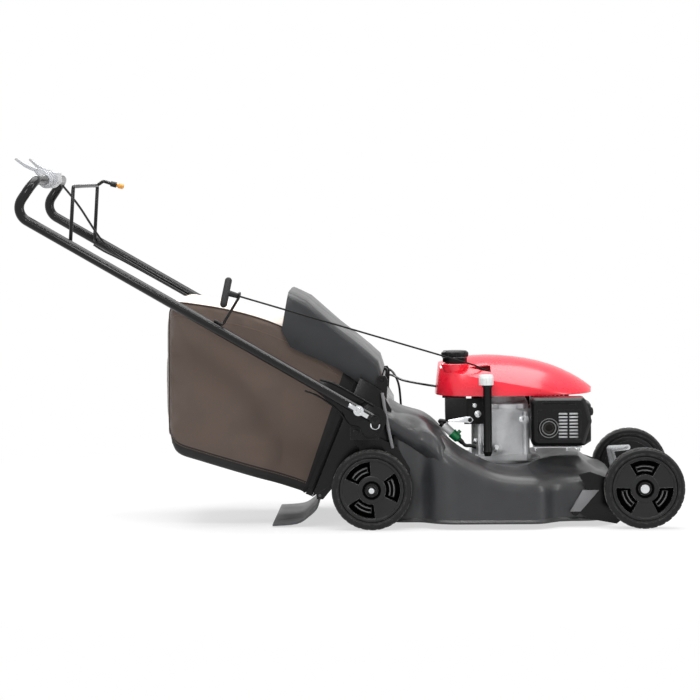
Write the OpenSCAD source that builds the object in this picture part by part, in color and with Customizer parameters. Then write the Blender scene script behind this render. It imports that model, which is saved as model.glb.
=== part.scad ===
// Walk-behind rotary lawn mower with a rear bag, a vertical-shaft engine and a folding handle.
// +X points forward, +Y to the mower's left and +Z up; the floor is at Z = 0.

/* [Wheels] */
// Diameter of the wheels
wheel_d = 203; // [196:1:210]
// Width of a tyre
tyre_w = 44; // [40:1:46]
// Distance between the wheel planes across the mower
track = 526; // [524:1:536]
// Distance from the rear to the front axle
wheelbase = 686; // [680:1:694]
// Front axle ahead of the origin
front_axle_x = 749; // [746:1:752]
// Distance of a wheel axle from the height pivot
crank_arm = 50; // [48:1:51]
// Diameter of the axle bars
axle_d = 14; // [12:1:15]
// Diameter of the wheel studs
stud_d = 12; // [10:1:13]

/* [Deck] */
// Crankshaft behind the front axle
crank_back = 360; // [356:1:364]
// Width of the deck
deck_w = 558; // [556:1:564]
// Deck front edge ahead of the crankshaft
deck_front = 298; // [296:1:300]
// Deck rear wall behind the crankshaft
deck_rear = 275; // [272:1:278]
// Height of the deck rim above the floor
deck_z = 14; // [10:1:18]
// Thickness of the deck sheet
sheet = 2; // [1.6:0.1:2.4]
// Height of the deck's low shoulder
deck_low = 134; // [132:1:136]
// Height of the engine seat on the deck
seat_z = 150; // [148:1:152]
// Radius of the deck's shoulder
shoulder = 45; // [40:1:46]
// Rise of the discharge tunnel per unit of length
tunnel_slope = 0.575; // [0.56:0.005:0.585]

/* [Blades] */
// Cutting width
blade_len = 530; // [520:1:532]
// Width of a blade
blade_w = 54; // [48:1:58]
// Height of the lower blade above the floor
blade_z = 30; // [28:1:32]
// Diameter of the crankshaft
shaft_d = 25; // [22:1:26]

/* [Engine] */
// Length of the engine cover
cover_l = 407; // [400:1:410]
// Width of the engine cover
cover_w = 276; // [272:1:280]
// Height of the cover's lower edge
cover_z = 325; // [323:1:326]
// Height of the cover's crown
cover_top = 424; // [420:1:426]
// Diameter of the exhaust outlet
outlet_d = 20; // [18:1:22]
// Diameter of the fuel cap
cap_d = 68; // [64:1:70]

/* [Handle] */
// Diameter of the handle tube
tube_d = 25; // [23:0.5:26]
// Wall of the handle tube
tube_wall = 1.6; // [1.2:0.1:2]
// Distance between the handle tubes
handle_w = 531.5; // [530:0.5:533]
// Distance from the crossbar to the tubes' lower end line, measured up
handle_top = 889; // [880:1:895]
// Diameter of the blade bail wire
bail_d = 9.5; // [8:0.5:10]

/* [Rear] */
// Width of the discharge guard
guard_w = 346; // [340:1:348]
// Wall of the discharge guard
guard_wall = 3; // [2.5:0.1:3.5]
// Width of the trailing shield
shield_w = 420; // [410:1:422]
// Width of the bag's mouth
mouth_w = 330; // [324:1:332]
// Full width of the bag
bag_w = 404; // [390:1:410]
// Wall of the bag fabric
cloth = 3; // [2:0.5:4]

/* [Hidden] */
$fn = 48;

// Clearance of a running fit, on the radius
fit = 0.05;
// Gap between parts that pass or rest near each other
gap = 0.3;

crank_x = front_axle_x - crank_back;
rear_axle_x = front_axle_x - wheelbase;
wheel_r = wheel_d / 2;
wheel_y = track / 2;
wheel_in = wheel_y - tyre_w / 2;
pivot_off = crank_arm * cos(45);
pivot_z = wheel_r - pivot_off;
front_pivot_x = front_axle_x - pivot_off;
rear_pivot_x = rear_axle_x - pivot_off;

half_w = deck_w / 2;
rear_half = handle_w / 2 - tube_d / 2 - 22.25;
rear_wall_x = crank_x - deck_rear;
seat_r = 118;
seat_bore = 52;
crown = 36;
ridge_rise = 28;
rim_lip = 5;

belt_z = 120;
pulley_r = 27;
gear_pulley_r = 42;
gear_pulley = [rear_axle_x - 16, 150];

guard_pivot = [rear_axle_x + 27, 372];
guard_half = guard_w / 2;
shield_pivot = [rear_axle_x - 133, 82];
handle_pivot = [rear_axle_x + 9, 280];
tube_r = tube_d / 2;
handle_y = handle_w / 2;
handle_slope = 0.582;
arm_tilt = 56;
bend_r = 38;
bar_x = handle_pivot.x - 850;
bail_foot_x = handle_pivot.x - 765;
bail_bend = 9;
bail_y = handle_y - tube_r - bail_bend - 1;

rope_start = [handle_pivot.x - 339, -268, 593];
rope_end = [crank_x - 62, -122, 404];
drive_in = [rear_wall_x + 18, 192, 160];
rope_d = 4.5;
cable_d = 6;

function lerp(a, b, t) = a + (b - a) * t;
function smooth(t) = let (s = max(0, min(1, t))) s * s * (3 - 2 * s);
function unit(v) = v / norm(v);
function tube_z(x) = handle_pivot.y + handle_slope * (handle_pivot.x - x);

// Closed skin over rows of points, each row one turn of a loop.
// ends: "ring" joins the last row to the first, "fan" closes round ends, "strip" closes thin walls
module skin(rows, ends = "fan") {
    m = len(rows[0]);
    n = len(rows);
    last = ends == "ring" ? n - 1 : n - 2;
    walls = [for (i = [0:last], j = [0:m - 1])
        let (k = (i + 1) % n, l = (j + 1) % m)
        each [[i * m + j, k * m + l, i * m + l], [i * m + j, k * m + j, k * m + l]]];
    fan = [[for (j = [0:m - 1]) j], [for (j = [m - 1:-1:0]) (n - 1) * m + j]];
    strip = [for (j = [0:m / 2 - 2])
        let (a = j, b = j + 1, c = m - 2 - j, d = m - 1 - j, e = (n - 1) * m)
        each [[a, b, c], [a, c, d], [e + a, e + c, e + b], [e + a, e + d, e + c]]];
    caps = ends == "fan" ? fan : ends == "strip" ? strip : [];
    polyhedron([for (r = rows) each r], concat(walls, caps), convexity = 10);
}

// Smooth points between the given ones
function curve(p, steps) = [for (i = [0:len(p) - 2], s = [0:steps - 1])
    let (a = p[max(0, i - 1)], b = p[i], c = p[i + 1], d = p[min(len(p) - 1, i + 2)], t = s / steps)
    0.5 * (2 * b + (c - a) * t + (2 * a - 5 * b + 4 * c - d) * t * t + (3 * b - a - 3 * c + d) * t * t * t),
    p[len(p) - 1]];

// Round cord of radius r through points p
module cord(p, r, sides = 8) {
    n = len(p);
    rows = [for (i = [0:n - 1])
        let (t = unit(p[min(n - 1, i + 1)] - p[max(0, i - 1)]), a = unit(cross(t, [0.15, 1, 0.1])), b = cross(a, t))
        [for (j = [sides:-1:1]) p[i] + r * (cos(360 * j / sides) * a + sin(360 * j / sides) * b)]];
    skin(rows);
}

// Turns that bring +X onto a and +Y onto b
function frame_angles(a, b) = let (c = cross(a, b), level = norm([a.x, a.y]) > 0.000001)
    [level ? atan2(b.z, c.z) : atan2(-b.x * sign(a.z), b.y), -asin(max(-1, min(1, a.z))), level ? atan2(a.y, a.x) : 0];

// Round bar bent through corner points with one bend radius. The runs lap over the bends by a hair.
module bent_bar(p, r, bend, hollow = 0) {
    n = len(p);
    hair = 0.04;
    turn = [for (i = [0:n - 1]) i == 0 || i == n - 1 ? 0 :
        acos(unit(p[i] - p[i - 1]) * unit(p[i + 1] - p[i]))];
    cut = [for (a = turn) a == 0 ? 0 : bend * tan(a / 2) - 0.3];
    for (i = [0:n - 2]) {
        u = unit(p[i + 1] - p[i]);
        along(p[i] + u * cut[i], u)
            ring(r, hollow, norm(p[i + 1] - p[i]) - cut[i] - cut[i + 1]);
        if (i > 0) {
            v = unit(p[i] - p[i - 1]);
            side = unit(u - v * (u * v));
            translate(p[i] - v * bend * tan(turn[i] / 2) + side * bend)
                rotate(frame_angles(-side, v))
                    rotate_extrude(angle = turn[i])
                        translate([bend, 0])
                            difference() {
                                circle(r - hair);
                                if (hollow > 0) circle(r - hollow + hair);
                            }
        }
    }
}

module ring(r, hollow, h) {
    difference() {
        cylinder(r = r, h = h);
        if (hollow > 0) translate([0, 0, -1]) cylinder(r = r - hollow, h = h + 2);
    }
}

// Turns +Z to the direction d and moves to p
module along(p, d) {
    translate(p)
        rotate([0, acos(d.z / norm(d)), atan2(d.y, d.x)])
            children();
}

// Puts a shape drawn with its axis on +Z onto the +Y direction at [x, y, z]
module across(x, y, z) {
    translate([x, y, z]) rotate([-90, 0, 0]) children();
}

// Extrudes a side outline drawn in X and Z from y0 to y1
module side(y0, y1) {
    translate([0, y1, 0]) rotate([90, 0, 0]) linear_extrude(y1 - y0) children();
}

module both_sides() {
    children();
    mirror([0, 1, 0]) children();
}

// ---------------------------------------------------------------- deck

// Deck outline, right half from the front to the rear, as arcs: centre x, centre y, radius, from, to, steps
nose_half = 221;
corner_r = 100;
step_a = acos(1 - (half_w - nose_half) / 120);
step_x = crank_x + deck_front - corner_r - 18;
waist_r = [100, 50];
waist_a = acos(1 - (half_w - rear_half) / (waist_r[0] + waist_r[1]));
waist_x = rear_axle_x + wheel_r + 8;
waist_l = (waist_r[0] + waist_r[1]) * sin(waist_a);
rear_r = 26;
arcs = [
    [crank_x + deck_front - corner_r, nose_half - corner_r, corner_r, 0, 90, 7],
    [step_x, nose_half + 70, -70, 270, 270 - step_a, 2],
    [step_x - 120 * sin(step_a), half_w - 50, 50, 90 - step_a, 90, 3],
    [waist_x + waist_l, half_w - waist_r[0], waist_r[0], 90, 90 + waist_a, 4],
    [waist_x, rear_half + waist_r[1], -waist_r[1], 270 + waist_a, 270, 3],
    [rear_wall_x + rear_r, rear_half - rear_r, rear_r, 90, 180, 4]
];
runs = [2, 1, 8, 1, 3, 8];
function arc_point(a, k, inset) = let (t = lerp(a[3], a[4], k / a[5]), r = abs(a[2]) - inset * sign(a[2]))
    [a[0] + r * cos(t), a[1] + r * sin(t)];
function arc_run(i, inset) = [for (k = [0:arcs[i][5]]) arc_point(arcs[i], k, inset)];
function half_outline(inset) = [for (i = [0:5])
    let (p = arc_run(i, inset), e = p[len(p) - 1],
         q = i < 5 ? arc_point(arcs[i + 1], 0, inset) : [rear_wall_x + inset, 0])
    each concat(p, [for (k = [1:runs[i] - 1]) lerp(e, q, k / runs[i])])];
function outline(inset) = let (h = half_outline(inset), n = len(h))
    concat([[crank_x + deck_front - inset, 0]], h, [[rear_wall_x + inset, 0]],
           [for (i = [n - 1:-1:0]) [h[i].x, -h[i].y]]);

// Height of the deck's shoulder: the discharge tunnel climbs to the rear on the right
function ramp(x) = tunnel_slope * 25 * ln(1 + exp((crank_x - 10 - x) / 25));
function right_side(y) = 0.18 + 0.82 * smooth((130 - y) / 170);
function shoulder_z(p) = deck_low + ramp(p.x) * right_side(p.y);
// Height of the deck's top away from its edge: a dome round the blades and a ridge over the tunnel
function top_z(p) = let (r = norm(p - [crank_x, 0]), right = right_side(p.y), ridge = smooth((crank_x - 114 - p.x) / 60) * right,
        dome = lerp(crown / 3, crown, smooth((p.x - crank_x - 30) / 90)))
    lerp(seat_z, deck_low + dome * (1 - ridge) + (ramp(p.x) + ridge_rise * ridge) * right, smooth((r - seat_r) / 70));

// Rows of the deck skin at a given depth below its outer face
function deck_rows(t) = let (base = outline(0), n = len(base),
    lip = outline(t > 0 ? t : -rim_lip), wall = outline(t))
    concat(
        [[for (p = lip) [p.x, p.y, deck_z]]],
        t > 0 ? [] : [[for (p = lip) [p.x, p.y, deck_z + 5]]],
        [[for (p = wall) [p.x, p.y, deck_z + 10]]],
        [for (a = [0:22.5:90]) let (o = outline(shoulder - (shoulder - t) * cos(a)))
            [for (i = [0:n - 1]) [o[i].x, o[i].y, shoulder_z(base[i]) - shoulder + (shoulder - t) * sin(a)]]],
        [for (f = [0.17:0.166:1]) let (o = outline(shoulder))
            [for (i = [0:n - 1])
                let (c = [crank_x, 0], q = lerp(o[i], c + seat_r * unit(o[i] - c), f))
                [q.x, q.y, lerp(shoulder_z(base[i]), top_z(q), smooth(f / 0.4)) - t]]],
        [[for (i = [0:n - 1]) let (c = [crank_x, 0], s = c + seat_bore * unit(base[i] - c)) [s.x, s.y, seat_z - t]]]
    );

module deck_shell() {
    outer = deck_rows(0);
    inner = deck_rows(sheet);
    color([0.21, 0.22, 0.23])
        difference() {
            skin(concat(outer, [for (i = [len(inner) - 1:-1:0]) inner[i]]), "ring");
            // Discharge opening
            translate([rear_wall_x - 20, 0, 0]) rotate([90, 0, 90]) linear_extrude(90)
                polygon([[-chute_half, chute_low], [40, chute_low], [40, chute_low + 26], [0, chute_roof - 48],
                         [-40, chute_roof - 10], [-chute_half, chute_roof - 4]]);
            // Hole for the drive cable
            translate([drive_in.x, drive_in.y, deck_low - 30]) cylinder(d = cable_d + 4, h = 100);
            // Belt slot
            translate([rear_wall_x - 10, gear_pulley.y - 84, belt_z - 9]) cube([20, 136, 18]);
        }
}

// ---------------------------------------------------------------- rear structure

chute_half = 165;
chute_low = 150;
chute_roof = 262;
plate_t = 3;
plate_y = handle_y - tube_r - gap - plate_t;
mouth_low = [rear_axle_x - 168, 84];
mouth_top = [rear_axle_x - 43, 386];
mouth_dir = unit(mouth_top - mouth_low);

// Tunnel from the deck's rear wall to the bag's mouth
module discharge_chute() {
    wall = rear_wall_x - gap;
    side_y = rear_half - 12;
    lip = [mouth_dir.y, -mouth_dir.x] * 16;
    floor_mid = [rear_axle_x - 66, 138];
    color([0.09, 0.09, 0.1])
        difference() {
            union() {
                side(-side_y, side_y)
                    polygon([[wall, 134], [wall, 300], guard_pivot + [-4, -22], mouth_top + lip, mouth_low + lip,
                             floor_mid - [0, 6]]);
                // Ears for the guard's hinge rod
                both_sides() side(guard_half + gap, guard_half + 8)
                    polygon([guard_pivot + [-24, -40], guard_pivot + [-14, 0], guard_pivot + [-8, 11],
                             guard_pivot + [8, 11], guard_pivot + [14, 0], guard_pivot + [10, -70]]);
                // Ears for the trailing shield's rod
                both_sides() side(shield_w / 2 + 2, shield_w / 2 + 8)
                    polygon([shield_pivot + [-10, 10], shield_pivot + [-8, -10], shield_pivot + [8, -10],
                             [rear_axle_x - 60, 150], [rear_axle_x - 100, 170]]);
            }
            // Passage for the clippings
            side(-mouth_w / 2 + 4, mouth_w / 2 - 4)
                polygon([[wall + 4, 150], [wall + 4, 270], guard_pivot + [-20, -34], mouth_top + [-2, -18],
                         mouth_top + [-60, -10], mouth_low + [-60, 20], mouth_low + lip + [4, 16], floor_mid + [0, 4]]);
            // Hollow sides
            both_sides() side(mouth_w / 2, side_y - 4)
                polygon([[wall + 4, 60], [wall + 4, 290], guard_pivot + [-18, -30], mouth_top + lip + [6, -16],
                         mouth_low + lip + [14, 26], mouth_low + lip + [60, -40]]);
            // Room for the guard's side walls
            both_sides() side(guard_half - guard_wall - gap, guard_half + gap)
                polygon(concat([for (p = guard_low) p - [0, 3]], [guard_low[8] + [-20, 100], guard_pivot + [20, 60],
                        guard_pivot + [14, -20]]));
            both_sides() across(guard_pivot.x, guard_half - 31, guard_pivot.y) cylinder(r = 9 + gap, h = 31 + gap);
            across(guard_pivot.x, -300, guard_pivot.y) cylinder(d = 8 + 2 * fit, h = 600);
            across(shield_pivot.x, -300, shield_pivot.y) cylinder(d = 7 + 2 * fit, h = 600);
        }
}

module guard_hinge_rod() {
    color([0.6, 0.6, 0.62])
        across(guard_pivot.x, -guard_half - 12, guard_pivot.y) cylinder(d = 8, h = guard_w + 24);
}

knob_at = [handle_pivot.x - 40, tube_z(handle_pivot.x - 40)];
knob_l = norm(knob_at - handle_pivot);
knob_bolt_d = 8;
pivot_bolt_d = 10;

// Steel plate that carries the handle, stepped out over the rear wheel
module handle_bracket() {
    step_z = handle_pivot.y - 50;
    slope = atan(handle_slope);
    difference() {
        union() {
            side(plate_y, plate_y + plate_t) difference() {
                union() {
                    translate(handle_pivot) circle(30);
                    polygon([for (p = [[-150, 72], [-117, 45], [-81, 17], [-62, -14], [-62, -50], [10, -50], [24, -18],
                                       [24, 14], [2, 34], [-102, 93], [-134, 100]]) handle_pivot + p]);
                }
                // Open notch for the knob's bolt
                intersection() {
                    translate(handle_pivot) difference() {
                        circle(knob_l + knob_bolt_d / 2 + 1);
                        circle(knob_l - knob_bolt_d / 2 - 1);
                    }
                    translate(knob_at) rotate(90 - slope) translate([0, -20]) square([100, 140]);
                }
                translate(knob_at) circle(knob_bolt_d / 2 + fit);
            }
            translate([handle_pivot.x - 62, rear_half, step_z - plate_t])
                cube([72, plate_y - rear_half + plate_t, plate_t]);
            side(rear_half, rear_half + plate_t)
                polygon([[handle_pivot.x - 68, step_z + 12], [handle_pivot.x - 60, step_z + 32], [handle_pivot.x - 38, step_z + 30],
                         [handle_pivot.x - 30, step_z], [handle_pivot.x + 10, step_z], [rear_wall_x + 14, 206],
                         [rear_wall_x + 46, 150], [rear_wall_x + 46, 96], [rear_wall_x + 30, 96], [rear_wall_x + 10, 136],
                         [rear_axle_x - 40, 136], [rear_axle_x - 30, 200]]);
        }
    }
    // Stud that the handle turns on
    across(handle_pivot.x, plate_y - 1, handle_pivot.y) cylinder(d = pivot_bolt_d, h = tube_d + 9);
    across(handle_pivot.x, plate_y + tube_d + 8, handle_pivot.y) cylinder(d = 16, h = 4, $fn = 6);
    // Bolts into the deck's rear corner
    for (p = [[-48, -31], [30, -90]])
        across(handle_pivot.x + p.x, rear_half + 2, handle_pivot.y + p.y) cylinder(d = 13, h = 6, $fn = 6);
}
module handle_right_bracket() { color([0.07, 0.07, 0.08]) mirror([0, 1, 0]) handle_bracket(); }
module handle_left_bracket() { color([0.07, 0.07, 0.08]) handle_bracket(); }

// Front wheel carrier bolted to the deck's front corner
module front_bracket() {
    difference() {
        union() {
            side(nose_half + 1, nose_half + 8)
                polygon([for (p = [[-135, -25], [-105, 25], [-128, 66], [-98, 73], [-55, 58], [18, 20], [20, -16], [-32, -59],
                                   [-104, -46]]) [front_pivot_x, pivot_z] + p]);
            for (p = [[-116, -6], [-136, -30]])
                across(front_pivot_x + p.x, nose_half, pivot_z + p.y) cylinder(r = 9, h = 5);
            across(front_pivot_x, nose_half - 6, pivot_z) cylinder(r = 14, h = 10);
        }
        across(front_pivot_x, 0, pivot_z) cylinder(d = axle_d + 2 * fit, h = 300);
    }
    for (p = [[-116, -6], [-136, -30]])
        across(front_pivot_x + p.x, nose_half + 4, pivot_z + p.y) cylinder(d = 14, h = 9, $fn = 6);
}
module front_right_bracket() { color([0.08, 0.08, 0.09]) mirror([0, 1, 0]) front_bracket(); }
module front_left_bracket() { color([0.08, 0.08, 0.09]) front_bracket(); }

// ---------------------------------------------------------------- wheels and axles

gear_m = 2.5;
ring_teeth = 52;
pinion_teeth = 12;
rim_phase = 0;
pinion_phase = 15;

// Tooth outline of a spur gear: n teeth, half widths at root and tip as shares of the pitch angle
function gear(n, root, tip, wide, thin, phase) = [for (i = [0:n - 1], k = [-1, -0.55, 0.55, 1])
    let (p = 360 / n, out = abs(k) < 0.9, a = phase + p * i + p / 2 * (out ? sign(k) * thin : sign(k) * wide))
    (out ? tip : root) * [cos(a), sin(a)]];

// Sector of a ring, from r0 to r1 and half_a either side of the angle a
module sector(r0, r1, a, half_a, z0, z1) {
    rotate([0, 0, a - half_a]) rotate_extrude(angle = 2 * half_a) translate([r0, z0]) square([r1 - r0, z1 - z0]);
}

module rim(x, z, s, geared) {
    windows = geared ? [215 - 90, 335 - 90, 95 - 90] : [90, 210, 330];
    mirror([0, s < 0 ? 1 : 0, 0])
        translate([x, wheel_y, z]) rotate([-90, 0, 0]) {
            difference() {
                union() {
                    rotate_extrude($fn = 96)
                        polygon([[8, -16], [15, -16], [15, -4], [68, -4], [68, -20], [79, -20], [81.5, -17], [78, -12],
                                 [78, 12], [81.5, 17], [80, 20], [75, 20], [73, 17], [35, 17], [34, 19], [18, 20],
                                 [17, 14], [11, 14], [11, 20], [8, 20]]);
                    if (geared) translate([0, 0, -20])
                        linear_extrude(14) difference() {
                            circle(71);
                            polygon(gear(ring_teeth, 67.5, 62.8, 0.62, 0.3, rim_phase));
                        }
                }
                // Recessed windows
                for (a = windows) sector(36, 72, -a, 32, 0, 40);
                translate([0, 0, -30]) cylinder(d = stud_d + 2 * fit, h = 60);
            }
            // Raised block in each window
            for (a = windows) sector(44, 59, -a, 24, -1, 10);
        }
}
module tyre(x, z, s) {
    mirror([0, s < 0 ? 1 : 0, 0])
        translate([x, wheel_y, z]) rotate([-90, 0, 0])
            rotate_extrude($fn = 120)
                polygon([[78.3, -12], [81.8, -17], [82, -20], [90, -tyre_w / 2 + 1], [wheel_r - 6, -tyre_w / 2],
                         [wheel_r - 1, -tyre_w / 2 + 6], [wheel_r, -tyre_w / 2 + 12], [wheel_r, tyre_w / 2 - 12],
                         [wheel_r - 1, tyre_w / 2 - 6], [wheel_r - 6, tyre_w / 2], [90, tyre_w / 2 - 1], [82, 20],
                         [81.8, 17], [78.3, 12]]);
}

rim_grey = [0.11, 0.11, 0.12];
tyre_grey = [0.05, 0.05, 0.06];
module front_right_rim() { color(rim_grey) rim(front_axle_x, wheel_r, -1, false); }
module front_left_rim() { color(rim_grey) rim(front_axle_x, wheel_r, 1, false); }
module rear_right_rim() { color(rim_grey) rim(rear_axle_x, wheel_r, -1, true); }
module rear_left_rim() { color(rim_grey) rim(rear_axle_x, wheel_r, 1, true); }
module front_right_tyre() { color(tyre_grey) tyre(front_axle_x, wheel_r, -1); }
module front_left_tyre() { color(tyre_grey) tyre(front_axle_x, wheel_r, 1); }
module rear_right_tyre() { color(tyre_grey) tyre(rear_axle_x, wheel_r, -1); }
module rear_left_tyre() { color(tyre_grey) tyre(rear_axle_x, wheel_r, 1); }

arm_y = wheel_in - 11;
arm_t = 7;

// Arm from the height pivot to a wheel's stud, with the stud and its bolt head
module wheel_arm(px, wx) {
    across(wx, arm_y, wheel_r) cylinder(d = stud_d, h = wheel_y + 20.5 - arm_y);
    across(wx, wheel_y + 20 + gap, wheel_r) cylinder(d = 22, h = 3);
    across(wx, wheel_y + 20 + gap, wheel_r) cylinder(d = 15, h = 6, $fn = 6);
    difference() {
        side(arm_y, arm_y + arm_t) hull() {
            translate([px, pivot_z]) circle(16);
            translate([wx, wheel_r]) circle(14);
        }
    }
}

// Cranked front axle with its height lever on the left
module front_axle() {
    color([0.5, 0.5, 0.52]) {
        both_sides() wheel_arm(front_pivot_x, front_axle_x);
        across(front_pivot_x, -arm_y - 1, pivot_z) cylinder(d = axle_d, h = 2 * arm_y + 2);
        side(wheel_in - 32, wheel_in - 27)
            difference() {
                hull() {
                    translate([front_pivot_x, pivot_z]) circle(14);
                    translate([front_pivot_x - 20, pivot_z + 86]) circle(9);
                }
            }
        side(wheel_in - 32, wheel_in - 27) hull() {
            translate([front_pivot_x - 20, pivot_z + 86]) circle(9);
            translate([front_pivot_x + 28, pivot_z + 90]) circle(7);
        }
    }
}

// Cranked rear axle: two arms that turn on the drive shaft, tied by a bar
module rear_axle() {
    color([0.5, 0.5, 0.52])
        difference() {
            union() {
                both_sides() wheel_arm(rear_pivot_x, rear_axle_x);
                across(rear_axle_x - 4, -arm_y - 1, wheel_r - 44) cylinder(d = 10, h = 2 * arm_y + 2);
                both_sides() side(arm_y, arm_y + arm_t) hull() {
                    translate([rear_axle_x - 4, wheel_r - 44]) circle(8);
                    translate([rear_axle_x, wheel_r]) circle(12);
                }
                across(rear_pivot_x, arm_y - 7, pivot_z) cylinder(r = 15, h = 8);
                side(arm_y - 7, arm_y - 2) hull() {
                    translate([rear_pivot_x, pivot_z]) circle(15);
                    translate([rear_pivot_x - 40, pivot_z + 84]) circle(8);
                }
            }
            across(rear_pivot_x, -300, pivot_z) cylinder(d = 12 + 2 * fit, h = 600);
        }
}

// Drive shaft with a pinion inside each rear wheel
module drive_shaft() {
    color([0.62, 0.62, 0.64]) {
        across(rear_pivot_x, -wheel_in - 18, pivot_z) cylinder(d = 12, h = 2 * wheel_in + 36);
        both_sides() across(rear_pivot_x, wheel_in + 3, pivot_z)
            linear_extrude(13) polygon(gear(pinion_teeth, 11.6, 16.6, 0.52, 0.3, pinion_phase));
    }
}
// ---------------------------------------------------------------- drive

module transmission() {
    color([0.45, 0.46, 0.48])
        difference() {
            union() {
                across(rear_pivot_x, 90, pivot_z) cylinder(r = 26, h = 90);
                translate([rear_pivot_x - 30, 110, pivot_z - 14]) cube([50, 80, 40]);
                translate([gear_pulley.x, gear_pulley.y, pivot_z]) cylinder(r = 16, h = belt_z - 12 - pivot_z);
            }
            across(rear_pivot_x, 0, pivot_z) cylinder(d = 12 + 2 * fit, h = 300);
            translate([gear_pulley.x, gear_pulley.y, pivot_z + 20]) cylinder(d = 10 + 2 * fit, h = 60);
        }
}

// Grooved pulley about Z
module pulley(r, bore) {
    rotate_extrude() polygon([[bore, -8], [r + 4, -8], [r + 4, -6], [r - 5, -3], [r - 5, 3], [r + 4, 6], [r + 4, 8], [bore, 8]]);
}

module crank_pulley() {
    color([0.4, 0.41, 0.43]) translate([crank_x, 0, belt_z]) pulley(pulley_r, shaft_d / 2);
}

module transmission_pulley() {
    color([0.4, 0.41, 0.43]) translate([gear_pulley.x, gear_pulley.y, belt_z]) {
        pulley(gear_pulley_r, 0.01);
        translate([0, 0, -30]) cylinder(d = 10, h = 25);
    }
}

module belt_loop(extra) {
    hull() {
        translate([crank_x, 0]) circle(pulley_r - 4.5 + extra);
        translate(gear_pulley) circle(gear_pulley_r - 4.5 + extra);
    }
}

module drive_belt() {
    color([0.06, 0.06, 0.06]) translate([0, 0, belt_z - 2.5])
        linear_extrude(5) difference() {
            belt_loop(8);
            belt_loop(0);
        }
}

// ---------------------------------------------------------------- blades and crankshaft

blade_t = 4;
holder_z = blade_z + 2 * blade_t;
bolt_off = 32;

module crankshaft() {
    color([0.6, 0.6, 0.62]) translate([crank_x, 0, holder_z + 14]) {
        cylinder(d = shaft_d, h = 330 - holder_z - 14);
        cylinder(d = 16, h = 384 - holder_z - 14);
    }
}

module blade_holder() {
    color([0.35, 0.35, 0.37]) translate([crank_x, 0, holder_z])
        difference() {
            union() {
                cylinder(r = 24, h = 46);
                translate([-46, -22, 0]) cube([92, 44, 8]);
            }
            translate([0, 0, 14]) cylinder(d = shaft_d, h = 60);
            for (s = [-1, 1]) translate([bolt_off * s, 0, -1]) cylinder(d = 10, h = 20);
        }
}

// Flat blade with ground edges and a raised wing at each end
module blade(l, lift) {
    half = l / 2;
    difference() {
        union() {
            translate([-half, -blade_w / 2, 0]) cube([l, blade_w, blade_t]);
            for (a = [0, 180]) rotate(a) translate([half - 90, 0, blade_t]) rotate([90, 0, 90]) linear_extrude(85)
                polygon([[4, 0], [blade_w / 2, lift], [blade_w / 2, lift - 4], [10, -1]]);
        }
        for (a = [0, 180]) rotate(a) translate([half - 95, -blade_w / 2 - 1, 0]) rotate([90, 0, 90]) linear_extrude(120)
            polygon([[0, 4.1], [9, 4.1], [0, 1]]);
        translate([0, 0, -1]) cylinder(d = 16, h = 10);
    }
}

module blade_holes() {
    for (s = [-1, 1]) translate([bolt_off * s, 0, -1]) cylinder(d = 10, h = 10);
}
module lower_blade() {
    color([0.55, 0.56, 0.58]) translate([crank_x, 0, blade_z]) difference() {
        blade(blade_len, 12);
        blade_holes();
    }
}
module upper_blade() {
    color([0.5, 0.51, 0.53]) translate([crank_x, 0, blade_z + blade_t]) difference() {
        rotate(20) blade(blade_len - 14, 14);
        blade_holes();
    }
}

module blade_bolts() {
    color([0.7, 0.7, 0.72]) translate([crank_x, 0, blade_z]) for (s = [-1, 1]) translate([bolt_off * s, 0, 0]) {
        translate([0, 0, -6]) cylinder(d = 18, h = 6, $fn = 6);
        translate([0, 0, -1]) cylinder(d = 10 - 2 * fit, h = 20);
    }
}

// ---------------------------------------------------------------- engine

module flywheel() {
    color([0.5, 0.5, 0.52]) translate([crank_x, 0, 331])
        difference() {
            union() {
                cylinder(r = 92, h = 8);
                for (a = [0:30:330]) rotate(a) translate([50, -1.5, 8]) cube([38, 3, 14]);
                cylinder(r = 30, h = 20);
            }
            translate([0, 0, -1]) cylinder(d = 16, h = 60);
        }
}

module starter_reel() {
    color([0.12, 0.12, 0.13]) translate([crank_x, 0, 360])
        difference() {
            union() {
                cylinder(r = 62, h = 3);
                cylinder(r = 52, h = 16);
                translate([0, 0, 13]) cylinder(r = 62, h = 3);
            }
            translate([0, 0, -1]) cylinder(r = 8.4, h = 30);
        }
}

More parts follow.
